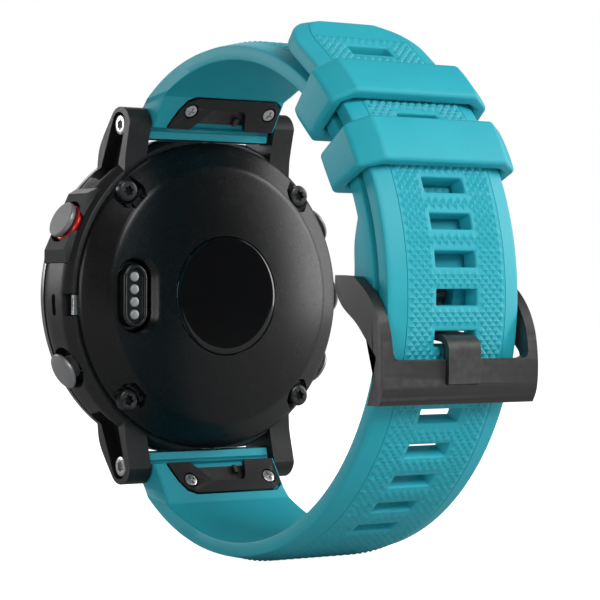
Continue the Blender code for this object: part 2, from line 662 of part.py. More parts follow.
def cut_slots(strap):
    """Buckle slots, square to the strap's arc."""
    places = [(LOOP_Y, TONGUE_SLOT + 8.4 + TAIL_SLOT_STEP * k) for k in range(9)]
    places += [(LONG_Y, TONGUE_SLOT - LONG_SLOT_STEP * k) for k in range(7)]
    for center_y, angle in places:
        turn = min(angle, TAIL_LIFT)
        along = math.radians(angle - turn) * (TAIL_INNER_R + STRAP_T / 2)
        frame = Matrix.Translation((0, center_y, 0)) @ turn_about("X", turn) @ Matrix.Translation((0, 0, along))
        cutter = box((-SLOT_HALF_W, 30, -SLOT_H / 2), (SLOT_HALF_W, 42, SLOT_H / 2))
        combine(strap, add_object("slot_cutter", cutter, None, frame))


def build_straps(material):
    short = add_object("strap_short", lofted(short_strap_sections()), material)
    cut_strap_end(short, 1)
    notch = box((-1.8, 40, -6), (1.8, 56, PIN_Z + 2.4))
    combine(short, add_object("notch_cutter", notch, None))
    eye = Matrix.Translation((0, PIN_Y, PIN_Z)) @ turn_about("Y", 90)
    combine(short, add_object("eye_cutter", disc(PIN_R + 0.15, -14, 14, SCREW_STEPS), None, eye))
    long = add_object("strap_long", lofted(long_strap_sections()), material)
    cut_strap_end(long, -1)
    cut_slots(long)
    return short, long


def keeper_outline(outside):
    """(x, radius) outline of a keeper: flat top, slanted shoulders, straight sides, slanted foot."""
    wall, half = (KEEPER_WALL, KEEPER_HALF_W) if outside else (0.0, STRAP_HALF_W + FRAME_SIDE_GAP)
    top = TAIL_INNER_R + STRAP_T + STRAP_GAP + wall
    foot = LOOP_R - STRAP_GAP - wall
    if outside:
        right = [(half - 1.2, foot), (half, foot + 1.4), (half, top - 2.3), (10.2, top)]
    else:
        right = [(half - 0.3, foot), (half, foot + 0.3), (half, top - 0.7), (9.9, top)]
    return right + [(-x, r) for x, r in reversed(right)]


def build_keepers(material, parents):
    for name, (start, end) in KEEPER_SPANS.items():
        walls = []
        for outside in (True, False):
            low, high = (start, end) if outside else (start - 3, end + 3)
            sections = []
            for k in range(7):
                angle = math.radians(low + (high - low) * k / 6)
                sections.append([(x, LOOP_Y + r * math.cos(angle), r * math.sin(angle))
                                 for x, r in keeper_outline(outside)])
            walls.append(lofted(sections))
        keeper = add_object(name, walls[0], material)
        combine(keeper, add_object("keeper_cutter", walls[1], None))
        keeper.data.shade_smooth()
        keeper.data.set_sharp_from_angle(angle=math.radians(32))
        keeper.parent = parents
        move_origin(keeper, (0, LOOP_Y, 0))


def buckle_outline():
    """(y, z) outline of an arm and of the bar's end."""
    bar_inner_r = LONG_INNER_R + STRAP_T + SEAT_GAP
    bottom, top = [math.degrees(math.asin(z / bar_inner_r)) for z in (BAR_BOTTOM_Z, BAR_TOP_Z + 0.37)]
    bar_inner = arc((LONG_Y, 0), bar_inner_r, bottom, top, 5)
    rear = [(51.6, -5.7), (49.4, -3.5), (46.7, -1.6), (45.4, 0.0), (44.9, 1.6), (44.9, 2.7)]
    front = [(48.9, 2.5), (51.7, 0.4), (53.6, -1.9), (54.8, -4.6), (55.3, -7.4), (55.4, -10.2), (55.1, -12.6),
             (54.3, BAR_BOTTOM_Z)]
    return bar_inner + rear + front


def pin_frame():
    return Matrix.Translation((0, PIN_Y, PIN_Z)) @ turn_about("Y", 90)


def build_buckle(materials, hinge):
    outline = buckle_outline()
    frame = add_object("buckle_frame", side_prism(outline, -BUCKLE_HALF_W, BUCKLE_HALF_W), materials["gunmetal"])
    half = STRAP_HALF_W + FRAME_SIDE_GAP
    opening = add_object("opening_cutter", box((-half, 40, BAR_TOP_Z), (half, 60, 6)), None)
    combine(frame, opening, solver="MANIFOLD")
    pocket = box((-TONGUE_HALF_W - SLIM_GAP, 54.45, TONGUE_END_Z - 0.2), (TONGUE_HALF_W + SLIM_GAP, 60, 6))
    combine(frame, add_object("tab_cutter", pocket, None), solver="MANIFOLD")
    end = BUCKLE_HALF_W - BUCKLE_WALL
    pin_hole = add_object("pin_cutter", disc(PIN_R + SLIM_GAP, -end, end, SCREW_STEPS), None, pin_frame())
    combine(frame, pin_hole, solver="MANIFOLD")
    move_origin(frame, (0, PIN_Y, PIN_Z))
    frame.parent = hinge
    frame.matrix_parent_inverse = hinge.matrix_world.inverted()
    end -= SLIM_GAP
    pin = add_object("buckle_pin", disc(PIN_R, -end, end, SCREW_STEPS), materials["steel"], pin_frame(), hinge)
    return frame, pin


def band(points, thickness):
    """A strip of even thickness along a (y, z) path, as an outline."""
    points = [Vector(p) for p in points]
    normals = []
    for k in range(len(points)):
        before = (points[k] - points[max(k - 1, 0)]).normalized()
        after = (points[min(k + 1, len(points) - 1)] - points[k]).normalized()
        mean = (before + after).normalized()
        stretch = 1 / max(0.5, mean.dot(after if k + 1 < len(points) else before))
        normals.append(Vector((-mean.y, mean.x)) * thickness / 2 * stretch)
    sides = [p + n for p, n in zip(points, normals)]
    return sides + [p - n for p, n in reversed(list(zip(points, normals)))]


def tongue_path():
    bend = arc((53.6, -7.3), 1.85, 75, 0, 5)
    return [(48.3, -1.0), (49.3, -3.9), (50.6, -5.0), (52.6, -5.35)] + bend[1:] + [(55.45, -10.0), (55.35, TONGUE_END_Z)]


def build_tongue(materials, hinge):
    loop_half = 1.5
    tongue = add_object("buckle_tongue", disc(PIN_R + 1.0, -loop_half, loop_half, BUTTON_STEPS), materials["gunmetal"],
                        pin_frame())
    neck = band(tongue_path()[:4], TONGUE_T)
    combine(tongue, add_object("neck_tool", side_prism(neck, -loop_half, loop_half), None), "UNION")
    blade = band(tongue_path()[2:], TONGUE_T)
    combine(tongue, add_object("blade_tool", side_prism(blade, -TONGUE_HALF_W, TONGUE_HALF_W), None), "UNION")
    combine(tongue, add_object("pin_cutter", disc(PIN_R + SLIM_GAP, -14, 14, SCREW_STEPS), None, pin_frame()))
    move_origin(tongue, (0, PIN_Y, PIN_Z))
    tongue.parent = hinge
    tongue.matrix_parent_inverse = hinge.matrix_world.inverted()
    return tongue


def build_latch(label, side, materials, parent):
    frame = land_frame(side)
    plate_low = PLATE_PROUD - PLATE_T
    plate = add_object(f"latch_plate_{label}", flat_prism(plate_outline(), plate_low, PLATE_PROUD),
                       materials["plate"], frame)
    combine(plate, add_object("window_cutter", flat_prism(latch_window(), -4, 4), None, frame))
    top = plate_low - 0.15
    pad = [(-6.2, 0.55), (4.6, 0.55), (2.1, 3.9), (-4.4, 3.9), (-5.2, 3.2)]
    latch = add_object(f"latch_{label}", flat_prism(pad, top - LATCH_T, top), materials["plate"], frame)
    leg = world_box(-4.0, 1.0, BAR_Y + 0.1, BAR_Y + 3.15, BAR_Z + BAR_R + CHANNEL_GAP, BAR_Z + 1.7, side)
    combine(latch, add_object("leg_tool", leg, None), "UNION")
    grip = box((-3.8, 0.6, top - 0.3), (-3.2, 1.9, top + 0.55))
    combine(latch, add_object("grip_tool", grip, None, frame), "UNION")
    for k, x in enumerate(QR_SCREW_X):
        place = frame @ Matrix.Translation((x, QR_SCREW_ALONG, 0))
        combine(plate, add_object("sink_cutter", disc(1.25, -0.35, 2, BUTTON_STEPS), None, place))
        combine(plate, add_object("hole_cutter", disc(0.7, -4, 2, 12), None, place))
        screw = [(0, -2.4), (0.5, -2.4), (0.5, -0.25), (1.0, -0.25), (1.0, 0.05), (0.85, 0.15), (0.4, 0.15),
                 (0.4, -0.1), (0, -0.1)]
        add_object(f"latch_screw_{label}_{k + 1}", turned(screw, SCREW_STEPS), materials["steel"], place, parent)
    add_object(f"latch_spring_{label}", helix(0.5, 0.12, 0.1, 1.15, 3, 6), materials["steel"], spring_frame(side),
               parent)
    plate.parent = parent
    latch.parent = parent


def make_materials():
    return {
        "case": make_material("case_polymer", (0.018, 0.018, 0.019), 0.42),
        "back": make_material("case_back_steel", (0.030, 0.030, 0.032), 0.28, 0.6),
        "bezel": make_material("bezel_steel", (0.33, 0.33, 0.34), 0.30, 1.0),
        "glass": make_material("lens_glass", (0.010, 0.011, 0.013), 0.04),
        "window": make_material("sensor_glass", (0.004, 0.004, 0.005), 0.04),
        "display": make_material("display_panel", (0.020, 0.022, 0.026), 0.20),
        "seal": make_material("seal_rubber", (0.020, 0.020, 0.020), 0.70),
        "frame": make_material("inner_plastic", (0.040, 0.040, 0.042), 0.60),
        "board": make_material("board_green", (0.015, 0.090, 0.045), 0.50),
        "battery": make_material("battery_foil", (0.35, 0.36, 0.38), 0.40, 0.7),
        "brass": make_material("beeper_brass", (0.60, 0.43, 0.18), 0.35, 1.0),
        "steel": make_material("bright_steel", (0.58, 0.58, 0.60), 0.28, 1.0),
        "bar": make_material("dark_steel", (0.030, 0.030, 0.032), 0.35, 0.9),
        "port": make_material("port_gloss_black", (0.010, 0.010, 0.011), 0.15),
        "contact": make_material("contact_nickel", (0.50, 0.50, 0.50), 0.32, 0.9),
        "screw": make_material("dark_screw", (0.035, 0.035, 0.037), 0.35, 0.8),
        "button": make_material("button_steel", (0.24, 0.24, 0.25), 0.38, 0.9),
        "red": make_material("accent_red", (0.65, 0.020, 0.015), 0.25),
        "silicone": make_material("teal_silicone", (0.042, 0.39, 0.50), 0.55),
        "gunmetal": make_material("gunmetal", (0.070, 0.068, 0.068), 0.36, 0.85),
        "plate": make_material("plate_black", (0.030, 0.028, 0.029), 0.45, 0.5),
    }


def main():
    clear_scene()
    materials = make_materials()
    case = add_empty("watch_case", (0, 0, 0))
    body = build_case_body(materials["case"])
    body.parent = case
    back = build_case_back(materials["back"])
    back.parent = case
    build_back_screws(materials["screw"], case)
    build_window(materials["window"], case)
    build_port(materials, case)
    build_front(materials, case)
    build_inside(materials, case)
    build_buttons(materials, case)
    build_lug_bars(materials, case)
    short, long = build_straps(materials["silicone"])
    short.parent = case
    long.parent = case
    build_keepers(materials["silicone"], case)
    hinge = add_empty("buckle_hinge", (0, PIN_Y, PIN_Z), case)
    build_buckle(materials, hinge)
    build_tongue(materials, hinge)
    build_latch("upper", 1, materials, case)
    build_latch("lower", -1, materials, case)


main()
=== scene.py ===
import math

import bmesh
import bpy
from mathutils import Matrix, Vector


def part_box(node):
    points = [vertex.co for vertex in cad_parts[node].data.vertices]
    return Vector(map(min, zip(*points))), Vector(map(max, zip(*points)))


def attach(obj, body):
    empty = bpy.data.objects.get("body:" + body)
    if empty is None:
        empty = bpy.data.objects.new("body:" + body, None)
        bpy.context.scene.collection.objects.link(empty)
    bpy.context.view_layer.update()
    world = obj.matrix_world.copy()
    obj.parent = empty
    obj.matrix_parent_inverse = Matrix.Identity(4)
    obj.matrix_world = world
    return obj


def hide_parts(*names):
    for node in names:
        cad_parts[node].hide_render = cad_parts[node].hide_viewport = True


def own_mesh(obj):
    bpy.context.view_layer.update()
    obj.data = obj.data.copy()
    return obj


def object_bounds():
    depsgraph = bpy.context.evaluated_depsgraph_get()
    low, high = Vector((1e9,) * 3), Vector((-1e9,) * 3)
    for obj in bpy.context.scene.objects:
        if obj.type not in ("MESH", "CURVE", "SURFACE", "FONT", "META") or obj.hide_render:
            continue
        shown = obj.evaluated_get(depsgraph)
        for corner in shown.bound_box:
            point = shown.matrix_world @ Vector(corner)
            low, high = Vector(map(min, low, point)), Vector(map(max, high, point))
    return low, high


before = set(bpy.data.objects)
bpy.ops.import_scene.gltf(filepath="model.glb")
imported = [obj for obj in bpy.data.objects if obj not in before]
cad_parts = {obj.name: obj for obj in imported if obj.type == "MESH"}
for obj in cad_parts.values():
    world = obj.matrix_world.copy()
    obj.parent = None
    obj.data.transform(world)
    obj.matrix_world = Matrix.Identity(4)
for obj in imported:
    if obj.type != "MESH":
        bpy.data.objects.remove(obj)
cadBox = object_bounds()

# Shapes are worked out in millimetres and scaled to metres when a mesh is made.
# +X is 3 o'clock, +Z is 12 o'clock and +Y runs out of the case back, towards the wrist.
mm = 0.001
scene = bpy.context.scene
scene.view_settings.view_transform = "Standard"


def turnAbout(axis, degrees):
    return Matrix.Rotation(math.radians(degrees), 4, axis)


def shift(x, y, z):
    return Matrix.Translation((x, y, z))


caseAxis = turnAbout("X", -90)     # local z along world +Y
barAxis = turnAbout("Y", 90)       # local z along world +X


def radialAxis(angle, radius, y):
    out = Vector((math.cos(math.radians(angle)), 0, math.sin(math.radians(angle))))
    side = Vector((0, 1, 0))
    turn = Matrix((side.cross(out), side, out)).transposed().to_4x4()
    return Matrix.Translation(out * radius + side * y) @ turn


def arc(center, radius, start, end, steps):
    angles = [math.radians(start + (end - start) * k / steps) for k in range(steps + 1)]
    return [(center[0] + radius * math.cos(a), center[1] + radius * math.sin(a)) for a in angles]


def stadium(halfW, halfL, steps=16):
    straight = halfL - halfW
    return arc((0, straight), halfW, 0, 180, steps) + arc((0, -straight), halfW, 180, 360, steps)


def spline(points, perSpan):
    # a smooth curve through every point
    points = [Vector(p) for p in points]
    found = []
    for k in range(len(points) - 1):
        before = points[max(k - 1, 0)]
        after = points[min(k + 2, len(points) - 1)]
        a, b = points[k], points[k + 1]
        for j in range(perSpan):
            t = j / perSpan
            bend = (2 * a + (b - before) * t + (2 * before - 5 * a + 4 * b - after) * t ** 2
                    + (3 * a - before - 3 * b + after) * t ** 3)
            found.append(tuple(bend / 2))
    return found + [tuple(points[-1])]


def turned(profile, steps=96):
    bm = bmesh.new()
    rings = []
    for radius, height in profile:
        if radius < 1e-6:
            rings.append([bm.verts.new((0, 0, height))])
            continue
        angles = [2 * math.pi * k / steps for k in range(steps)]
        rings.append([bm.verts.new((radius * math.cos(a), radius * math.sin(a), height)) for a in angles])
    isRing = len(rings[0]) > 1
    following = rings[1:] + rings[:1] if isRing else rings[1:]
    for ring, other in zip(rings, following):
        for k in range(steps):
            j = (k + 1) % steps
            corners = [ring[k % len(ring)], ring[j % len(ring)]]
            corners += [other[j % len(other)], other[k % len(other)]]
            corners = list(dict.fromkeys(corners))
            if len(corners) > 2:
                bm.faces.new(corners)
    return bm


def lofted(sections):
    bm = bmesh.new()
    loops = [[bm.verts.new(point) for point in section] for section in sections]
    count = len(loops[0])
    for loop, other in zip(loops, loops[1:]):
        for k in range(count):
            bm.faces.new((loop[k], loop[(k + 1) % count], other[(k + 1) % count], other[k]))
    caps = [bm.faces.new(loops[0]), bm.faces.new(loops[-1])]
    bmesh.ops.triangulate(bm, faces=caps)
    return bm


def sidePrism(outline, low, high):
    return lofted([[(x, y, z) for y, z in outline] for x in (low, high)])


def flatPrism(outline, low, high):
    return lofted([[(x, y, z) for x, y in outline] for z in (low, high)])


def boxShape(low, high):
    corners = [(low[0], low[1]), (high[0], low[1]), (high[0], high[1]), (low[0], high[1])]
    return flatPrism(corners, low[2], high[2])


def disc(radius, low, high, steps=48):
    return turned([(0, low), (radius, low), (radius, high), (0, high)], steps)


def bothWays(half):
    # a turned profile mirrored about the middle of its axis
    return [(radius, -height) for radius, height in reversed(half[1:])] + half


def solid(name, bm, place=None, material=None):
    # a closed object in the scene, with its points in world metres
    if place:
        bm.transform(place)
    bmesh.ops.recalc_face_normals(bm, faces=bm.faces)
    if bm.calc_volume(signed=True) < 0:
        bmesh.ops.reverse_faces(bm, faces=bm.faces)
    bmesh.ops.scale(bm, verts=bm.verts, vec=(mm, mm, mm))
    mesh = bpy.data.meshes.new(name)
    bm.to_mesh(mesh)
    bm.free()
    if material:
        mesh.materials.append(material)
    piece = bpy.data.objects.new(name, mesh)
    scene.collection.objects.link(piece)
    return piece


def volumeOf(mesh):
    bm = bmesh.new()
    bm.from_mesh(mesh)
    volume = bm.calc_volume(signed=True) if bm.faces else 0
    bm.free()
    return volume


def combine(piece, bm, place=None, operation="DIFFERENCE"):
    # MANIFOLD is fast; EXACT is tried where it gives nothing back or changes the volume the wrong way
    tool = solid("tool", bm, place)
    before = volumeOf(piece.data)
    for solver in ("MANIFOLD", "EXACT"):
        modifier = piece.modifiers.new("combine", "BOOLEAN")
        modifier.operation = operation
        modifier.solver = solver
        modifier.object = tool
        bpy.context.view_layer.update()
        mesh = bpy.data.meshes.new_from_object(piece.evaluated_get(bpy.context.evaluated_depsgraph_get()))
        piece.modifiers.clear()
        after = volumeOf(mesh)
        if after > 0 and (after <= before) == (operation == "DIFFERENCE"):
            break
    piece.data = mesh
    bpy.data.objects.remove(tool, do_unlink=True)


def soften(piece, width, segments=3, angle=30):
    # rounded edges with clean shading
    piece.data.shade_smooth()
    if width:
        bevel = piece.modifiers.new("roundEdges", "BEVEL")
        bevel.width = width * mm
        bevel.segments = segments
        bevel.limit_method = "ANGLE"
        bevel.angle_limit = math.radians(angle)
        bevel.harden_normals = True
        bevel.use_clamp_overlap = True
    else:
        piece.data.set_sharp_from_angle(angle=math.radians(angle))


def finishPiece(piece, body, slotName, *nodes):
    if not piece.data.polygons:
        print("empty piece", piece.name)
    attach(piece, body)
    if nodes:
        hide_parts(*nodes)
    return piece


# effects that several materials share
def newGroup(name, inputs, outputs):
    group = bpy.data.node_groups.new(name, "ShaderNodeTree")
    for label, kind, value in inputs:
        socket = group.interface.new_socket(label, in_out="INPUT", socket_type=kind)
        if value is not None:
            socket.default_value = value
    for label, kind in outputs:
        group.interface.new_socket(label, in_out="OUTPUT", socket_type=kind)
    source = group.nodes.new("NodeGroupInput")
    result = group.nodes.new("NodeGroupOutput")
    return group, source, result


def addMath(nodes, links, operation, first, second=None, third=None):
    node = nodes.new("ShaderNodeMath")
    node.operation = operation
    for k, value in enumerate((first, second, third)):
        if value is None:
            continue
        if isinstance(value, (int, float)):
            node.inputs[k].default_value = value
        else:
            links.new(value, node.inputs[k])
    return node.outputs[0]


def scaledCoords(group, source, scaleName):
    coords = group.nodes.new("ShaderNodeTexCoord")
    scaled = group.nodes.new("ShaderNodeVectorMath")
    scaled.operation = "MULTIPLY"
    group.links.new(coords.outputs["Object"], scaled.inputs[0])
    group.links.new(source.outputs[scaleName], scaled.inputs[1])
    return scaled.outputs[0]


def addNoise(group, vector, scale, detail=3.0, rough=0.55):
    node = group.nodes.new("ShaderNodeTexNoise")
    node.inputs["Scale"].default_value = scale
    node.inputs["Detail"].default_value = detail
    node.inputs["Roughness"].default_value = rough
    group.links.new(vector, node.inputs["Vector"])
    return node.outputs["Fac"]


def makeGrainGroup():
    # moulded or blasted grain: Height for a bump, Mask for the shine of its high points
    group, source, result = newGroup("surfaceGrain", [("Scale", "NodeSocketVector", (1, 1, 1)),
                                                     ("Amount", "NodeSocketFloat", 1.0)],
                                     [("Height", "NodeSocketFloat"), ("Mask", "NodeSocketFloat")])
    vector = scaledCoords(group, source, "Scale")
    fine = addNoise(group, vector, 1.0, 4.0, 0.6)
    cells = group.nodes.new("ShaderNodeTexVoronoi")
    cells.inputs["Scale"].default_value = 0.6
    group.links.new(vector, cells.inputs["Vector"])
    blend = addMath(group.nodes, group.links, "MULTIPLY_ADD", cells.outputs["Distance"], 0.5, fine)
    group.links.new(addMath(group.nodes, group.links, "MULTIPLY", blend, source.outputs["Amount"]),
                    result.inputs["Height"])
    group.links.new(fine, result.inputs["Mask"])
    return group


def makeToneGroup():
    # slow changes of tone and shine over the surface, as handling and moulding leave them
    group, source, result = newGroup("toneDrift", [("Color", "NodeSocketColor", (0.5, 0.5, 0.5, 1)),
                                                  ("Drift", "NodeSocketFloat", 0.1),
                                                  ("Roughness", "NodeSocketFloat", 0.5),
                                                  ("Shine", "NodeSocketFloat", 0.05)],
                                     [("Color", "NodeSocketColor"), ("Roughness", "NodeSocketFloat")])
    coords = group.nodes.new("ShaderNodeTexCoord")
    slow = addNoise(group, coords.outputs["Object"], 130.0, 3.0)
    smear = addNoise(group, coords.outputs["Object"], 420.0, 5.0, 0.7)
    both = addMath(group.nodes, group.links, "ADD", slow, smear)
    centred = addMath(group.nodes, group.links, "SUBTRACT", both, 1.0)
    level = addMath(group.nodes, group.links, "MULTIPLY_ADD", centred, source.outputs["Drift"], 1.0)
    tint = group.nodes.new("ShaderNodeVectorMath")
    tint.operation = "SCALE"
    group.links.new(source.outputs["Color"], tint.inputs[0])
    group.links.new(level, tint.inputs["Scale"])
    group.links.new(tint.outputs[0], result.inputs["Color"])
    rough = addMath(group.nodes, group.links, "MULTIPLY_ADD", centred, source.outputs["Shine"],
                    source.outputs["Roughness"])
    group.links.new(rough, result.inputs["Roughness"])
    return group


def makeWearGroup():
    # lighter, worn tone where the surface is convex
    group, source, result = newGroup("edgeWear", [("Color", "NodeSocketColor", (0.5, 0.5, 0.5, 1)),
                                                 ("Worn", "NodeSocketColor", (0.8, 0.8, 0.8, 1)),
                                                 ("Amount", "NodeSocketFloat", 0.3)],
                                     [("Color", "NodeSocketColor"), ("Mask", "NodeSocketFloat")])
    geometry = group.nodes.new("ShaderNodeNewGeometry")
    ramp = group.nodes.new("ShaderNodeMapRange")
    ramp.inputs["From Min"].default_value = 0.52
    ramp.inputs["From Max"].default_value = 0.62
    group.links.new(geometry.outputs["Pointiness"], ramp.inputs["Value"])
    coords = group.nodes.new("ShaderNodeTexCoord")
    patchy = addNoise(group, coords.outputs["Object"], 900.0, 3.0)
    mask = addMath(group.nodes, group.links, "MULTIPLY", ramp.outputs[0], patchy)
    mask = addMath(group.nodes, group.links, "MULTIPLY", mask, source.outputs["Amount"])
    mix = group.nodes.new("ShaderNodeMix")
    mix.data_type = "RGBA"
    group.links.new(mask, mix.inputs["Factor"])
    group.links.new(source.outputs["Color"], mix.inputs["A"])
    group.links.new(source.outputs["Worn"], mix.inputs["B"])
    group.links.new(mix.outputs["Result"], result.inputs["Color"])
    group.links.new(mask, result.inputs["Mask"])
    return group


def makeLatheGroup():
    # fine rings about the watch's own axis, as turning leaves them
    group, source, result = newGroup("turningRings", [("Pitch", "NodeSocketFloat", 0.0003),
                                                     ("Amount", "NodeSocketFloat", 1.0)],
                                     [("Height", "NodeSocketFloat")])
    coords = group.nodes.new("ShaderNodeTexCoord")
    flat = group.nodes.new("ShaderNodeVectorMath")
    flat.operation = "MULTIPLY"
    flat.inputs[1].default_value = (1, 0, 1)
    group.links.new(coords.outputs["Object"], flat.inputs[0])
    length = group.nodes.new("ShaderNodeVectorMath")
    length.operation = "LENGTH"
    group.links.new(flat.outputs[0], length.inputs[0])
    turns = addMath(group.nodes, group.links, "DIVIDE", length.outputs["Value"], source.outputs["Pitch"])
    jitter = group.nodes.new("ShaderNodeTexNoise")
    jitter.noise_dimensions = "1D"
    jitter.inputs["Detail"].default_value = 4.0
    jitter.inputs["Scale"].default_value = 1.0
    group.links.new(turns, jitter.inputs["W"])
    height = addMath(group.nodes, group.links, "MULTIPLY", jitter.outputs["Fac"], source.outputs["Amount"])
    group.links.new(height, result.inputs["Height"])
    return group


effects = {
    "grain": makeGrainGroup(),
    "tone": makeToneGroup(),
    "wear": makeWearGroup(),
    "lathe": makeLatheGroup(),
}

# color and worn are linear RGB; grain is the size of the surface's grain along x, y and z, in millimetres
looks = {
    "silicone": {
        "color": (0.020, 0.415, 0.505), "worn": (0.08, 0.55, 0.64), "wear": 0.22, "drift": 0.10,
        "roughness": 0.50, "shine": 0.10, "grain": (0.12, 0.12, 0.12), "depth": 0.010, "specular": 0.35
    },
    "caseBlack": {
        "color": (0.0075, 0.0075, 0.008), "worn": (0.07, 0.07, 0.07), "wear": 0.25, "drift": 0.25,
        "roughness": 0.42, "shine": 0.14, "grain": (0.10, 0.10, 0.10), "depth": 0.010, "specular": 0.32
    },
    "backBlack": {
        "color": (0.004, 0.004, 0.0044), "worn": (0.07, 0.07, 0.07), "wear": 0.15, "drift": 0.25,
        "roughness": 0.27, "shine": 0.08, "grain": (0.08, 0.08, 0.08), "depth": 0.002, "specular": 0.34,
        "lathe": 0.22, "latheDepth": 0.006
    },
    "windowBlack": {
        "color": (0.003, 0.003, 0.0035), "worn": (0.01, 0.01, 0.01), "wear": 0.0, "drift": 0.3,
        "roughness": 0.07, "shine": 0.03, "grain": (0.8, 0.8, 0.8), "depth": 0.0006
    },
    "portBlack": {
        "color": (0.008, 0.008, 0.009), "worn": (0.06, 0.06, 0.06), "wear": 0.2, "drift": 0.2,
        "roughness": 0.22, "shine": 0.08, "grain": (0.1, 0.1, 0.1), "depth": 0.004
    },
    "contactMetal": {
        "color": (0.40, 0.40, 0.40), "worn": (0.62, 0.60, 0.55), "wear": 0.4, "drift": 0.18,
        "roughness": 0.42, "shine": 0.12, "grain": (0.06, 0.06, 0.06), "depth": 0.004, "metallic": 0.55
    },
    "screwBlack": {
        "color": (0.020, 0.020, 0.021), "worn": (0.22, 0.22, 0.22), "wear": 0.5, "drift": 0.3,
        "roughness": 0.34, "shine": 0.15, "grain": (0.10, 0.10, 0.10), "depth": 0.006, "metallic": 0.6
    },
    "brightSteel": {
        "color": (0.50, 0.50, 0.51), "worn": (0.75, 0.75, 0.75), "wear": 0.4, "drift": 0.15,
        "roughness": 0.30, "shine": 0.12, "grain": (0.05, 0.05, 0.05), "depth": 0.003, "metallic": 0.9
    },
    "barBlack": {
        "color": (0.022, 0.022, 0.023), "worn": (0.20, 0.20, 0.20), "wear": 0.3, "drift": 0.2,
        "roughness": 0.36, "shine": 0.12, "grain": (0.6, 0.06, 0.06), "depth": 0.004, "metallic": 0.7
    },
    "buttonSteel": {
        "color": (0.27, 0.27, 0.275), "worn": (0.5, 0.5, 0.5), "wear": 0.4, "drift": 0.12,
        "roughness": 0.38, "shine": 0.12, "grain": (0.05, 0.05, 0.9), "depth": 0.006, "metallic": 0.55
    },
    "accentRed": {
        "color": (0.62, 0.012, 0.010), "worn": (0.85, 0.15, 0.08), "wear": 0.3, "drift": 0.12,
        "roughness": 0.24, "shine": 0.08, "grain": (0.08, 0.08, 0.08), "depth": 0.002, "coat": 0.5,
        "coatRoughness": 0.1, "metallic": 0.3
    },
    "gunmetal": {
        "color": (0.055, 0.054, 0.054), "worn": (0.24, 0.235, 0.235), "wear": 0.45, "drift": 0.05,
        "roughness": 0.36, "shine": 0.16, "grain": (1.6, 0.05, 0.05), "depth": 0.008, "metallic": 0.75
    },
    "plateBlack": {
        "color": (0.010, 0.009, 0.0092), "worn": (0.20, 0.19, 0.19), "wear": 0.4, "drift": 0.2,
        "roughness": 0.40, "shine": 0.12, "grain": (0.9, 0.08, 0.08), "depth": 0.006, "metallic": 0.4
    },
    "bezelSteel": {
        "color": (0.16, 0.16, 0.165), "worn": (0.45, 0.45, 0.45), "wear": 0.4, "drift": 0.15,
        "roughness": 0.32, "shine": 0.12, "grain": (0.06, 0.06, 0.06), "depth": 0.003, "metallic": 0.85,
        "lathe": 0.15, "latheDepth": 0.012
    },
    "sealBlack": {
        "color": (0.014, 0.014, 0.014), "worn": (0.06, 0.06, 0.06), "wear": 0.2, "drift": 0.3,
        "roughness": 0.68, "shine": 0.12, "grain": (0.1, 0.1, 0.1), "depth": 0.01
    },
    "innerPlastic": {
        "color": (0.035, 0.035, 0.037), "worn": (0.1, 0.1, 0.1), "wear": 0.2, "drift": 0.2,
        "roughness": 0.58, "shine": 0.12, "grain": (0.15, 0.15, 0.15), "depth": 0.01
    },
    "boardGreen": {
        "color": (0.012, 0.085, 0.040), "worn": (0.35, 0.30, 0.12), "wear": 0.3, "drift": 0.3,
        "roughness": 0.42, "shine": 0.2, "grain": (0.5, 0.5, 0.5), "depth": 0.01
    },
    "batteryFoil": {
        "color": (0.36, 0.37, 0.39), "worn": (0.6, 0.6, 0.6), "wear": 0.4, "drift": 0.15,
        "roughness": 0.36, "shine": 0.2, "grain": (1.2, 1.2, 1.2), "depth": 0.03, "metallic": 0.8
    },
    "brassDisc": {
        "color": (0.55, 0.38, 0.14), "worn": (0.8, 0.62, 0.3), "wear": 0.4, "drift": 0.15,
        "roughness": 0.32, "shine": 0.15, "grain": (0.06, 0.06, 0.06), "depth": 0.004, "metallic": 1.0
    },
    "displayDark": {
        "color": (0.010, 0.012, 0.015), "worn": (0.02, 0.02, 0.02), "wear": 0.1, "drift": 0.2,
        "roughness": 0.18, "shine": 0.05, "grain": (0.07, 0.07, 0.07), "depth": 0.001
    },
    "dialMark": {
        "color": (0.42, 0.44, 0.46), "worn": (0.6, 0.6, 0.6), "wear": 0.2, "drift": 0.1,
        "roughness": 0.45, "shine": 0.1, "grain": (0.1, 0.1, 0.1), "depth": 0.003
    },
    "lensGlass": {
        "color": (0.02, 0.022, 0.025), "worn": (0.1, 0.1, 0.1), "wear": 0.0, "drift": 0.1,
        "roughness": 0.03, "shine": 0.01, "grain": (2, 2, 2), "depth": 0.0004, "alpha": 0.35
    },
}


def addEffect(tree, name, values):
    node = tree.nodes.new("ShaderNodeGroup")
    node.node_tree = effects[name]
    for label, value in values.items():
        node.inputs[label].default_value = value
    return node


def addBump(tree, height, distance, normal=None):
    bump = tree.nodes.new("ShaderNodeBump")
    bump.inputs["Distance"].default_value = distance * mm
    bump.inputs["Strength"].default_value = 1.0
    tree.links.new(height, bump.inputs["Height"])
    if normal:
        tree.links.new(normal, bump.inputs["Normal"])
    return bump.outputs["Normal"]


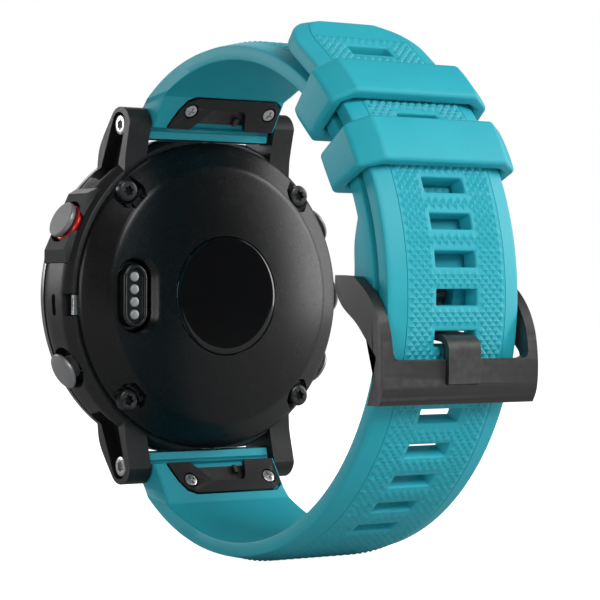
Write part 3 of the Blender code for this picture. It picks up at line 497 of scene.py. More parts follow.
def makeMaterial(name, look):
    material = bpy.data.materials.new(name)
    material.use_nodes = True
    tree = material.node_tree
    shader = tree.nodes["Principled BSDF"]
    tone = addEffect(tree, "tone", {"Color": (*look["color"], 1), "Drift": look["drift"],
                                    "Roughness": look["roughness"], "Shine": look["shine"]})
    wear = addEffect(tree, "wear", {"Worn": (*look["worn"], 1), "Amount": look["wear"]})
    tree.links.new(tone.outputs["Color"], wear.inputs["Color"])
    tree.links.new(wear.outputs["Color"], shader.inputs["Base Color"])
    tree.links.new(tone.outputs["Roughness"], shader.inputs["Roughness"])
    grain = addEffect(tree, "grain", {"Scale": [1 / (size * mm) for size in look["grain"]], "Amount": 1.0})
    normal = addBump(tree, grain.outputs["Height"], look["depth"])
    if "lathe" in look:
        rings = addEffect(tree, "lathe", {"Pitch": look["lathe"] * mm, "Amount": 1.0})
        normal = addBump(tree, rings.outputs["Height"], look["latheDepth"], normal)
    tree.links.new(normal, shader.inputs["Normal"])
    shader.inputs["Metallic"].default_value = look.get("metallic", 0.0)
    shader.inputs["Coat Weight"].default_value = look.get("coat", 0.0)
    shader.inputs["Coat Roughness"].default_value = look.get("coatRoughness", 0.1)
    shader.inputs["Specular IOR Level"].default_value = look.get("specular", 0.5)
    shader.inputs["Alpha"].default_value = look.get("alpha", 1.0)
    return material


materials = {name: makeMaterial(name, look) for name, look in looks.items()}
print("materials", len(materials))


view = {"azimuth": 146.2, "distance": 361.3, "heading": 144.467, "lens": 145.16, "sensor": 36.0,
        "shiftY": -0.0073, "near": 0.01, "far": 10.0}
stage = {"floorColor": (0.45, 0.45, 0.45, 1), "floorRoughness": 0.75, "floorR": 2.5, "floorDrop": 0.4,
         "floorGlow": 0.04, "floorSeen": 1.0, "airColor": (0.75, 0.77, 0.80, 1), "airLight": 0.09}
white = (1, 1, 1, 1)


def makeStage():
    material = bpy.data.materials.new("paleFloor")
    material.use_nodes = True
    shader = material.node_tree.nodes["Principled BSDF"]
    shader.inputs["Base Color"].default_value = stage["floorColor"]
    shader.inputs["Roughness"].default_value = stage["floorRoughness"]
    shader.inputs["Emission Color"].default_value = white
    tree = material.node_tree
    path = tree.nodes.new("ShaderNodeLightPath")
    glow = tree.nodes.new("ShaderNodeMapRange")
    glow.inputs["To Min"].default_value = stage["floorGlow"]
    glow.inputs["To Max"].default_value = stage["floorSeen"]
    tree.links.new(path.outputs["Is Camera Ray"], glow.inputs["Value"])
    tree.links.new(glow.outputs["Result"], shader.inputs["Emission Strength"])
    bm = bmesh.new()
    bmesh.ops.create_circle(bm, cap_ends=True, segments=96, radius=stage["floorR"])
    mesh = bpy.data.meshes.new("floor")
    bm.to_mesh(mesh)
    bm.free()
    mesh.materials.append(material)
    floor = bpy.data.objects.new("floor", mesh)
    floor.location.z = cadBox[0].z - stage["floorDrop"] * mm
    scene.collection.objects.link(floor)

    world = bpy.data.worlds.new("studio")
    scene.world = world
    world.use_nodes = True
    nodes, links = world.node_tree.nodes, world.node_tree.links
    background = nodes["Background"]
    path = nodes.new("ShaderNodeLightPath")
    seen = nodes.new("ShaderNodeBackground")
    seen.inputs["Color"].default_value = white
    background.inputs["Color"].default_value = stage["airColor"]
    background.inputs["Strength"].default_value = stage["airLight"]
    mix = nodes.new("ShaderNodeMixShader")
    links.new(path.outputs["Is Camera Ray"], mix.inputs["Fac"])
    links.new(background.outputs[0], mix.inputs[1])
    links.new(seen.outputs[0], mix.inputs[2])
    links.new(mix.outputs[0], nodes["World Output"].inputs["Surface"])


# where each softbox stands, as a direction from the watch, with distance and sizes in metres, power in watts
softboxes = {
    "keyBox": {"toward": (-0.10, 0.85, 0.52), "distance": 0.75, "size": (0.36, 0.32), "power": 3.6},
    "sideBox": {"toward": (-0.90, 0.40, 0.22), "distance": 0.60, "size": (0.16, 0.50), "power": 2.0},
    "ringBox": {"toward": (-0.97, -0.08, 0.18), "distance": 0.60, "size": (0.20, 0.60), "power": 0.9},
    "frontBox": {"toward": (0.95, 0.55, 0.15), "distance": 0.80, "size": (0.35, 0.35), "power": 1.3},
    "lowBox": {"toward": (0.15, 0.80, -0.35), "distance": 0.60, "size": (0.22, 0.12), "power": 0.3},
    "faceBox": {"toward": (-0.30, -0.90, 0.55), "distance": 0.90, "size": (0.50, 0.50), "power": 1.2},
    "topBox": {"toward": (-0.05, 0.10, 1.0), "distance": 0.80, "size": (0.50, 0.50), "power": 0.8},
    "armBox": {"toward": (0.50, -0.82, 0.22), "distance": 0.60, "size": (0.16, 0.18), "power": 0.9},
}


def makeLights():
    centre = (cadBox[0] + cadBox[1]) / 2
    for name, box in softboxes.items():
        light = bpy.data.lights.new(name, "AREA")
        light.shape = "RECTANGLE"
        light.size, light.size_y = box["size"]
        light.energy = box["power"]
        lamp = bpy.data.objects.new(name, light)
        scene.collection.objects.link(lamp)
        toward = Vector(box["toward"]).normalized()
        lamp.location = centre + toward * box["distance"]
        lamp.rotation_euler = (-toward).to_track_quat("-Z", "Y").to_euler()


def makeCamera():
    data = bpy.data.cameras.new("camera")
    data.sensor_width = view["sensor"]
    data.lens = view["lens"]
    data.shift_y = view["shiftY"]
    data.clip_start = view["near"]
    data.clip_end = view["far"]
    camera = bpy.data.objects.new("camera", data)
    angle = math.radians(view["azimuth"])
    camera.location = Vector((math.sin(angle), -math.cos(angle), 0)) * view["distance"] * mm
    camera.rotation_euler = (math.radians(90), 0, math.radians(view["heading"]))
    scene.collection.objects.link(camera)
    scene.camera = camera


makeStage()
makeLights()
makeCamera()
print("stage, lights and camera")


back = {"windowR": 8.8, "windowGap": 0.3, "holeGap": 0.08, "holeRound": 0.12, "domeR": 19.2, "domeDrop": 1.8,
        "domeStep": 0.25, "outerR": 23.0, "edgeY": -4.1, "edgeRound": 0.12, "rim": 0.6, "wall": 1.3,
        "flangeR": 19.45, "flangeT": 0.65, "flangeTop": -4.7, "flangeEnd": -6.0, "innerTop": -3.3,
        "innerR": 14.0, "seatR": 6.6, "seatFloor": -2.6, "seatY": -1.3, "notchHalf": 2.3, "notchFloor": -4.0,
        "notchOutR": 26.0}
port = {"x": 15.35, "halfW": 2.6, "halfL": 5.15, "floorY": -2.5, "pitch": 1.85, "contactR": 0.73,
        "contactGap": 0.1, "contactTop": -1.08, "contactShoulder": -3.0, "contactTailR": 0.4,
        "contactEnd": -5.2}
backScrew = {"circle": 21.7, "lift": 0.1, "headR": 1.6, "headT": 1.08, "stemR": 0.8, "reach": 4.2,
             "hollowR": 0.72, "hollowFloor": 0.45}
bracket = {"inset": 1.3, "low": -3.98, "high": -3.05, "socketR": 0.26, "socketFloor": -3.6, "socketX": -0.72,
           "socketSide": 0.95}
diagonals = [45 + 90 * k for k in range(4)]     # where the four corner screws are, from 3 o'clock


def domeY(radius):
    hole = back["windowR"] + back["windowGap"]
    return -back["domeDrop"] * (radius ** 2 - hole ** 2) / (back["domeR"] ** 2 - hole ** 2)


def portSections(steps):
    # the port's outline, grown by the first value of each step, at the height of the second
    outlines = [(stadium(port["halfW"] + grow, port["halfL"] + grow), height) for grow, height in steps]
    return [[(x, y, height) for x, y in outline] for outline, height in outlines]


def makeCaseBack():
    hole = back["windowR"] + back["holeGap"]
    domeStart, domeEnd = hole + back["holeRound"], back["domeR"] - back["domeStep"]
    radii = [domeStart + (domeEnd - domeStart) * k / 20 for k in range(21)]
    outer = [(hole, domeY(hole) - back["holeRound"])] + [(r, domeY(r)) for r in radii]
    slope = (back["edgeY"] + back["domeDrop"]) / (back["outerR"] - back["domeR"])
    outer += [(back["domeR"] + d, -back["domeDrop"] + slope * d) for d in (0.1, 0.5, 1.4, 2.4, 3.45)]
    edgeR, edgeY = back["outerR"], back["edgeY"]
    outer += [(edgeR - back["edgeRound"], edgeY + 0.05), (edgeR, edgeY - 0.1), (edgeR, edgeY - back["rim"])]
    flange, flangeIn = back["flangeR"], back["flangeR"] - back["flangeT"]
    under = [(flange, back["flangeTop"]), (flange, back["flangeEnd"]), (flangeIn, back["flangeEnd"]),
             (flangeIn, back["innerTop"]), (back["innerR"], domeY(back["innerR"]) - back["wall"]),
             (back["seatR"], back["seatFloor"]), (back["seatR"], back["seatY"]), (hole, back["seatY"])]
    piece = solid("backShell", turned(outer + under, 240), caseAxis, materials["backBlack"])
    recess = ((1.5, 0.45), (1.28, -0.32), (1.02, -0.75), (0.62, -1.0), (0.3, -1.35), (0.3, -8.0))
    combine(piece, lofted(portSections(recess)), shift(port["x"], 0, 0) @ caseAxis)
    half, inner, outerX = back["notchHalf"], back["domeR"] + back["domeStep"], back["notchOutR"]
    notch = [(inner + 1.1, -half), (outerX, -half), (outerX, half), (inner + 1.1, half), (inner, half - 0.9),
             (inner, 0.9 - half)]
    for angle in diagonals:
        combine(piece, flatPrism(notch, back["notchFloor"], 2.0), turnAbout("Y", angle) @ caseAxis)
    soften(piece, 0.07, 2, 28)
    finishPiece(piece, "watch", "back", "case_back")


def makeWindow():
    r = back["windowR"]
    crown = [(r - 0.14 - k * 0.8, 0.0) for k in range(10)]
    profile = [(0, -1.0), (r, -1.0), (r, -0.16), (r - 0.05, -0.05)] + crown + [(0, 0)]
    piece = solid("sensorGlass", turned(profile, 160), caseAxis, materials["windowBlack"])
    soften(piece, 0, angle=50)
    finishPiece(piece, "watch", "window", "sensor_window")


def makePort():
    place = shift(port["x"], 0, 0) @ caseAxis
    floor = port["floorY"]
    rings = [(0.4, -4.6), (0.4, -3.4), (0.0, -3.4), (0.0, floor - 0.05), (-0.08, floor), (-0.5, floor),
             (-0.55, floor + 0.05), (-0.55, -1.1), (-0.62, -0.94), (-0.78, -0.85), (-1.0, -0.85),
             (-1.08, -0.9), (-1.14, -1.05), (-1.18, -1.34), (-1.24, -1.4)]
    piece = solid("chargeSocket", lofted(portSections(rings)), place, materials["portBlack"])
    spots = [place @ shift(0, (k - 1.5) * port["pitch"], 0) for k in range(4)]
    for spot in spots:
        combine(piece, disc(port["contactR"] + port["contactGap"], -8, 0, 40), spot)
    soften(piece, 0, angle=42)
    finishPiece(piece, "watch", "port", "port_housing")
    r, top, tail = port["contactR"], port["contactTop"], port["contactTailR"]
    profile = [(0, port["contactEnd"]), (tail, port["contactEnd"]), (tail, port["contactShoulder"]),
               (r, port["contactShoulder"]), (r, top - 0.17), (r - 0.06, top - 0.08), (r - 0.14, top - 0.03),
               (r * 0.5, top - 0.01), (0, top)]
    for k, spot in enumerate(spots):
        contact = solid(f"chargePin{k + 1}", turned(profile, 40), spot, materials["contactMetal"])
        soften(contact, 0, angle=40)
        finishPiece(contact, "watch", "contact", f"charge_contact_{k + 1}")


def lobedHollow(radius, depthLow, depthHigh):
    # the six-lobed hollow in a screw's head
    outline = []
    for k in range(72):
        angle = math.radians(5 * k)
        r = radius * (1 + 0.17 * math.cos(6 * angle))
        outline.append((r * math.cos(angle), r * math.sin(angle)))
    return flatPrism(outline, depthLow, depthHigh)


def makeBackScrews():
    low = back["notchFloor"] + backScrew["lift"]
    top = low + backScrew["headT"]
    r, stem = backScrew["headR"], backScrew["stemR"]
    profile = [(0, low - backScrew["reach"]), (stem, low - backScrew["reach"]), (stem, low), (r, low),
               (r, top - 0.33), (r - 0.06, top - 0.15), (r - 0.2, top - 0.05), (r - 0.45, top), (0, top)]
    for k, angle in enumerate(diagonals):
        place = turnAbout("Y", angle) @ shift(backScrew["circle"], 0, 0) @ caseAxis
        piece = solid(f"backScrew{k + 1}", turned(profile, 48), place, materials["screwBlack"])
        combine(piece, lobedHollow(backScrew["hollowR"], low + backScrew["hollowFloor"], low + 2), place)
        soften(piece, 0, angle=35)
        finishPiece(piece, "watch", "screw", f"back_screw_{k + 1}")
        makeScrewBracket(k, angle)


def makeScrewBracket(k, angle):
    # the lug of metal inboard of the head, with its two small sockets
    outline = [(-0.85, -1.75), (0.25, -1.75), (-0.1, -1.0), (-0.32, 0), (-0.1, 1.0), (0.25, 1.75),
               (-0.85, 1.75), (-1.1, 1.2), (-1.1, -1.2)]
    seat = turnAbout("Y", angle) @ shift(backScrew["circle"] - bracket["inset"], 0, 0) @ caseAxis
    piece = solid(f"screwBracket{k + 1}", flatPrism(outline, bracket["low"], bracket["high"]),
                  seat @ shift(-0.15, 0, 0), materials["screwBlack"])
    for side in (-1, 1):
        spot = seat @ shift(bracket["socketX"], side * bracket["socketSide"], 0)
        combine(piece, disc(bracket["socketR"], bracket["socketFloor"], -2, 20), spot)
    soften(piece, 0.08, 2)
    finishPiece(piece, "watch", "screw")


makeCaseBack()
makeWindow()
makePort()
makeBackScrews()
print("case back")


case = {"flankR": 24.4, "shoulderR": 23.3, "backY": -5.0, "frontY": -12.6, "cavityR": 20.0, "cavityLip": 0.4,
        "gasketY": 1.3, "frontWall": 0.6, "mouthR": 18.7, "backGap": 0.22, "flatZ": 23.05, "screwHoleR": 1.0}
lug = {"inX": 11.1, "outX": 14.8, "web": 1.5, "tipR": 2.85, "recessR": 1.9, "barY": -6.6, "barZ": 25.3,
       "barR": 0.75, "barGap": 0.1, "screwR": 1.5, "screwTailR": 0.4, "screwTail": 2.2, "screwInset": 0.2,
       "hollowR": 0.72}
button = {"y": -9.2, "outR": 25.8, "capR": 2.75, "capT": 0.8, "stemR": 0.8, "guideR": 1.7, "footR": 1.3,
          "ringR": 2.45, "ringWire": 0.45, "ringDepth": -1.55}
buttonAngles = {"start": 26, "back": -26, "light": 154, "up": 180, "down": 206}
sideSlot = {"halfW": 0.5, "halfL": 1.65, "z": -1.35, "floorX": 23.6}     # between the start and back buttons
corners = [(sideX, sideZ) for sideZ in (1, -1) for sideX in (1, -1)]


def lugOutline():
    tip = arc((lug["barY"] + 0.3, lug["barZ"] - 0.2), lug["tipR"], 8, 142, 22)
    front = spline([tip[-1], (case["frontY"] + 0.6, 22.4), (case["frontY"] - 0.2, 19.2)], 6)[1:]
    return [(case["frontY"], 14.0), (case["backY"] - 0.2, 14.0), (case["backY"] + 0.25, 20.6),
            (case["backY"] + 0.62, 22.2)] + tip + front


def recessOutline():
    tip = arc((lug["barY"], lug["barZ"]), lug["recessR"], 8, 146, 16)
    return [(case["frontY"] + 1.3, 17.6), (case["backY"] - 2.6, 17.0)] + tip + [(case["frontY"] + 0.7, 18.8)]


def mirroredPrism(outline, xNear, xFar, sideX, sideZ):
    # a prism along x, on one of the four corners of the watch
    xs = sorted((xNear * sideX, xFar * sideX))
    return sidePrism([(y, z * sideZ) for y, z in outline], *xs)


def makeBody():
    edge, backY, frontY = case["flankR"], case["backY"], case["frontY"]
    shoulder = case["shoulderR"]
    flank = [(0, backY), (shoulder, backY), (shoulder + 0.32, backY - 0.1), (edge - 0.35, -5.9), (edge, -6.7),
             (edge, -7.4), (edge, -8.6), (edge, -9.8), (edge, -11.0), (edge - 0.12, -11.6),
             (edge - 0.5, frontY), (0, frontY)]
    piece = solid("caseShell", turned(flank, 192), caseAxis, materials["caseBlack"])
    for sideX, sideZ in corners:
        combine(piece, mirroredPrism(lugOutline(), lug["inX"], lug["outX"], sideX, sideZ), None, "UNION")
    makeGuard(piece)
    combine(piece, disc(back["outerR"] + case["backGap"], backY, 2.0, 192), caseAxis)
    inner, lip, mouth = case["cavityR"], case["cavityR"] + case["cavityLip"], case["mouthR"]
    seal, wall = backY - case["gasketY"], frontY + case["frontWall"]
    cavity = [(0, 5), (lip, 5), (lip, seal), (inner, seal), (inner, wall), (mouth, wall), (mouth, -18),
              (0, -18)]
    combine(piece, turned(cavity, 96), caseAxis)
    for side in (1, -1):
        zs = sorted((case["flatZ"] * side, (case["flatZ"] + 8) * side))
        combine(piece, boxShape((-lug["inX"], frontY - 5, zs[0]), (lug["inX"], 0, zs[1])))
    for sideZ in (1, -1):
        for sideX in (1, -1):
            recess = mirroredPrism(recessOutline(), lug["inX"] + lug["web"], lug["outX"] + 6, sideX, sideZ)
            combine(piece, recess)
        hole = disc(lug["barR"] + lug["barGap"], -lug["outX"], lug["outX"], 32)
        combine(piece, hole, shift(0, lug["barY"], lug["barZ"] * sideZ) @ barAxis)
    pocket = [(0, -8.5), (1.1, -8.5), (1.1, -5.0), (1.95, -5.0), (1.95, -3.4), (3.1, -3.4), (3.3, -1.9),
              (3.5, 2.0), (0, 2.0)]
    for angle in buttonAngles.values():
        combine(piece, turned(pocket, 56), radialAxis(angle, button["outR"], button["y"]))
    for angle in diagonals:
        place = turnAbout("Y", angle) @ shift(backScrew["circle"], 0, 0) @ caseAxis
        combine(piece, disc(case["screwHoleR"], -8.8, 0, 32), place)
    outline = stadium(sideSlot["halfW"], sideSlot["halfL"], 8)
    outline = [(y + button["y"], z + sideSlot["z"]) for y, z in outline]
    combine(piece, sidePrism(outline, sideSlot["floorX"], 26))
    combine(piece, boxShape((22.6, backY - 1.6, -3.0), (26, backY + 1, 0.3)))
    soften(piece, 0.16, 2, 25)
    finishPiece(piece, "watch", "case", "case_body")


def makeGuard(piece):
    # the faceted pad round the start button: a width, a depth and a height for each of its three outlines
    place = radialAxis(buttonAngles["start"], button["outR"], button["y"])
    rings = [((-6.3, 6.4), (-3.3, 3.3), -3.9), ((-6.0, 6.2), (-3.2, 3.2), -2.0),
             ((-4.6, 4.7), (-2.6, 2.9), -0.9)]
    sections = []
    for (left, right), (low, high), z in rings:
        sections.append([(left, low, z), (right, low, z), (right, high, z), (left, high, z)])
    combine(piece, lofted(sections), place, "UNION")


def makeButtons():
    r, t, stem = button["capR"], button["capT"], button["stemR"]
    guide, foot = button["guideR"], button["footR"]
    inner = [(0, -6.9), (foot, -6.9), (foot, -6.3), (stem, -6.3), (stem, -2.3), (guide, -2.3), (guide, -t),
             (r - 0.2, -t)]
    flatCrown = [(r, -t + 0.15), (r, -0.2), (r - 0.05, -0.08), (r - 0.16, 0), (r - 0.5, 0.0), (0, 0.0)]
    bevelCrown = [(r, -t + 0.12), (r, -0.42), (r - 0.1, -0.3), (r - 0.75, -0.03), (r - 0.9, 0.0), (0, 0.0)]
    for name, angle in buttonAngles.items():
        place = radialAxis(angle, button["outR"], button["y"])
        crown = flatCrown if name == "start" else bevelCrown
        piece = solid(f"{name}Cap", turned(inner + crown, 64), place, materials["buttonSteel"])
        soften(piece, 0, angle=24)
        finishPiece(piece, f"button_{name}", "button", f"button_{name}")
    place = radialAxis(buttonAngles["start"], button["outR"], button["y"])
    profile = arc((button["ringR"], button["ringDepth"]), button["ringWire"], 0, 360, 20)[:-1]
    accent = solid("startAccent", turned(profile, 72), place, materials["accentRed"])
    soften(accent, 0, angle=60)
    finishPiece(accent, "button_start", "red", "start_ring")


def makeLugBar(label, side):
    r, end = lug["barR"], lug["inX"] + lug["web"] - 0.3
    half = [(r, 0), (r, 6.0), (r - 0.1, 6.1), (r - 0.1, 6.4), (r, 6.5), (r, end - 0.1), (r - 0.1, end),
            (0.5, end), (0.5, end - 2.5), (0, end - 2.5)]
    place = shift(0, lug["barY"], lug["barZ"] * side) @ barAxis
    piece = solid(f"{label}Bar", turned(bothWays(half), 40), place, materials["barBlack"])
    soften(piece, 0, angle=35)
    finishPiece(piece, "watch", "bar", f"lug_bar_{label}")


def makeLugScrew(label, side, hand, turn):
    head, top = lug["inX"] + lug["web"] + 0.1, lug["outX"] - lug["screwInset"]
    r, tail = lug["screwR"], lug["screwTailR"]
    profile = [(0, head - lug["screwTail"]), (tail, head - lug["screwTail"]), (tail, head), (r, head),
               (r, top - 0.25), (r - 0.06, top - 0.1), (r - 0.22, top - 0.02), (r - 0.5, top), (0, top)]
    seat = shift(0, lug["barY"], lug["barZ"] * side) @ turnAbout("Y", turn)
    screw = solid(f"{label}{hand.title()}Torx", turned(profile, 56), seat, materials["brightSteel"])
    combine(screw, lobedHollow(lug["hollowR"], top - 0.55, top + 1), seat)
    soften(screw, 0.04, 2, 32)
    finishPiece(screw, "watch", "steel", f"lug_screw_{label}_{hand}")


def makeLugHardware():
    for label, side in (("upper", 1), ("lower", -1)):
        makeLugBar(label, side)
        for hand, turn in (("right", 90), ("left", -90)):
            makeLugScrew(label, side, hand, turn)


def makePortCover():
    low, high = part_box("air_port_cover")
    low, high = low / mm, high / mm
    piece = solid("ventPlate", boxShape(low, high), None, materials["brightSteel"])
    for k in range(3):
        z = low.z + (high.z - low.z) * (k + 1) / 4
        groove = boxShape((high.x - 0.12, low.y + 0.15, z - 0.12), (high.x + 1, high.y - 0.15, z + 0.12))
        combine(piece, groove)
    soften(piece, 0.08, 2)
    finishPiece(piece, "watch", "steel", "air_port_cover")


makeBody()
makeButtons()
makeLugHardware()
makePortCover()
print("case body, lugs and buttons")


front = {"y": -12.9, "lensR": 19.4, "bezelT": 2.1, "bezelInset": 0.4, "markCircle": 21.4, "markHalfW": 0.22,
         "longMark": 1.3, "shortMark": 0.8, "markDepth": 0.16, "lensBackY": -13.5, "lensT": 1.4}
dial = {"marks": 60, "inset": 1.2, "hourHalf": (0.28, 1.0), "minuteHalf": (0.10, 0.5), "lift": 0.06,
        "sink": 0.01}


def makeBezel():
    y, face, r = front["y"], front["y"] - front["bezelT"], front["lensR"]
    outer = case["flankR"] - front["bezelInset"]
    profile = [(outer, y), (outer, y - 0.75), (outer - 0.12, y - 1.0), (22.75, face + 0.12), (22.5, face),
               (r + 1.0, face), (r + 0.8, face + 0.08), (r + 0.3, face + 0.5), (r + 0.3, y)]
    piece = solid("bezelRing", turned(profile, 200), caseAxis, materials["bezelSteel"])
    for k in range(12):
        length = front["longMark"] if k % 3 == 0 else front["shortMark"]
        place = turnAbout("Y", 90 + 30 * k) @ shift(front["markCircle"], 0, 0) @ caseAxis
        half = front["markHalfW"]
        mark = [(x, w) for w, x in stadium(half, length / 2 + half, 6)]
        combine(piece, flatPrism(mark, face - 1, face + front["markDepth"]), place)
    soften(piece, 0, angle=30)
    finishPiece(piece, "watch", "bezel", "bezel")


def makeLens():
    r, inside = front["lensR"], front["lensBackY"]
    face = inside - front["lensT"]
    profile = [(0, inside), (r, inside), (r, face + 0.3), (r - 0.08, face + 0.1), (r - 0.3, face), (0, face)]
    lens = solid("frontGlass", turned(profile, 160), caseAxis, materials["lensGlass"])
    soften(lens, 0, angle=40)
    finishPiece(lens, "watch", "glass", "lens")


def makeDisplay():
    low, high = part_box("display")
    radius, face, rear = high.x / mm, low.y / mm, high.y / mm
    profile = [(0, rear), (radius, rear), (radius, face + 0.12), (radius - 0.12, face), (0, face)]
    panel = solid("displayPanel", turned(profile, 120), caseAxis, materials["displayDark"])
    soften(panel, 0, angle=40)
    finishPiece(panel, "watch", "display", "display")
    bm = bmesh.new()
    outer = radius - dial["inset"]
    for k in range(dial["marks"]):
        halfW, halfL = dial["hourHalf"] if k % 5 == 0 else dial["minuteHalf"]
        mark = boxShape((outer - 2 * halfL, -halfW, face - dial["lift"]), (outer, halfW, face - dial["sink"]))
        mark.transform(turnAbout("Z", 360 / dial["marks"] * k))
        mesh = bpy.data.meshes.new("mark")
        mark.to_mesh(mesh)
        mark.free()
        bm.from_mesh(mesh)
        bpy.data.meshes.remove(mesh)
    marks = solid("dialMarks", bm, caseAxis, materials["dialMark"])
    soften(marks, 0)
    finishPiece(marks, "watch", "display")


innerLooks = {"lens_gasket": "sealBlack", "back_gasket": "sealBlack", "inner_frame": "innerPlastic",
              "main_board": "boardGreen", "sensor_board": "boardGreen", "battery": "batteryFoil",
              "vibration_motor": "brightSteel", "beeper": "brassDisc"}


def dressNode(name, look):
    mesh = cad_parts[name].data
    mesh.materials.clear()
    mesh.materials.append(materials[look])


makeBezel()
makeLens()
makeDisplay()
for node, look in innerLooks.items():
    dressNode(node, look)
print("front and inner pieces")


# each strap is one dense sheet with a raised grip pattern, bevelled margins and slots for the tongue
strap = {"halfW": 11.0, "endHalfW": 10.75, "sideInset": 0.42, "thick": 2.7, "marginW": 2.8, "marginDrop": 0.6,
         "grooveX": 8.22, "grooveDepth": 0.15, "gap": 0.3, "loopY": 15.4, "loopR": 33.2, "longY": 17.0,
         "longArc": 127, "shortArc": (126, 16), "tailEnd": 71.0, "tailLift": 52.5, "tailCorner": 9.0,
         "tipRound": 0.55, "tipReach": 0.7, "endFaceZ": 23.35, "landStart": (-3.3, 24.85),
         "landEnd": (-0.2, 29.3)}
tailR = strap["loopR"] + strap["thick"] + strap["gap"]
longR = tailR + strap["loopY"] - strap["longY"]
slots = {"halfW": 3.4, "halfH": 1.05, "tailStart": -0.4, "tailStep": 7.5, "tailCount": 9, "longStart": -8.8,
         "longStep": 8.3, "longCount": 7, "smooth": 0.72, "corner": 0.13}
grip = {"pitch": 1.2385, "height": 0.28, "halfSpan": 8.05}
pin = {"y": 48.3, "z": 0.3, "r": 0.75}
edgeRound = ((0.0, 0.28), (0.06, 0.14), (0.16, 0.05), (0.36, 0.0))


def across():
    # distances from the strap's middle where the sheet has a column
    step = grip["pitch"] / 4
    regular = [k * step for k in range(int(grip["halfSpan"] / step + 0.5) + 1)]
    edges = [slots["halfW"] + offset for offset, _ in edgeRound[:3]]
    kept = [x for x in regular if min(abs(x - e) for e in edges) > 0.08]
    margin = [8.16, strap["grooveX"], 8.29, 8.4, 9.0, 9.6, 10.1, 10.5]
    half = sorted(kept + edges) + margin
    return [-x for x in reversed(half[1:])] + half


def gripHeight(x, s, holes, low, high):
    # square pyramids set cornerwise; a pyramid too near a slot or an end is left out whole
    p = grip["pitch"]
    u, v = (x + s) / p, (x - s) / p
    cu, cv = math.floor(u + 1e-6) + 0.5, math.floor(v + 1e-6) + 0.5
    cx, cs = (cu + cv) * p / 2, (cu - cv) * p / 2
    reach = p / 2
    if abs(cx) + reach > grip["halfSpan"] + 0.05 or cs - reach < low or cs + reach > high:
        return 0.0
    for hole in holes:
        if abs(cs - hole) < slots["halfH"] + slots["smooth"] and abs(cx) < slots["halfW"] + slots["smooth"]:
            return 0.0
    return grip["height"] * max(0.0, 1 - 2 * max(abs(u - cu), abs(v - cv)))


def slotDrop(x, s, holes):
    for hole in holes:
        away = math.hypot(max(0.0, abs(x) - slots["halfW"]), max(0.0, abs(s - hole) - slots["halfH"]))
        if away < edgeRound[-1][0]:
            for (d0, h0), (d1, h1) in zip(edgeRound, edgeRound[1:]):
                if away <= d1:
                    return h0 + (h1 - h0) * (away - d0) / (d1 - d0)
    return 0.0


def marginDrop(x, halfW):
    away = abs(x) - (halfW - strap["marginW"])
    if away <= 0:
        return 0.0
    inGroove = abs(abs(x) * strap["halfW"] / halfW - strap["grooveX"]) < 0.03
    groove = strap["grooveDepth"] if inGroove else 0.0
    return strap["marginDrop"] * away / strap["marginW"] + groove


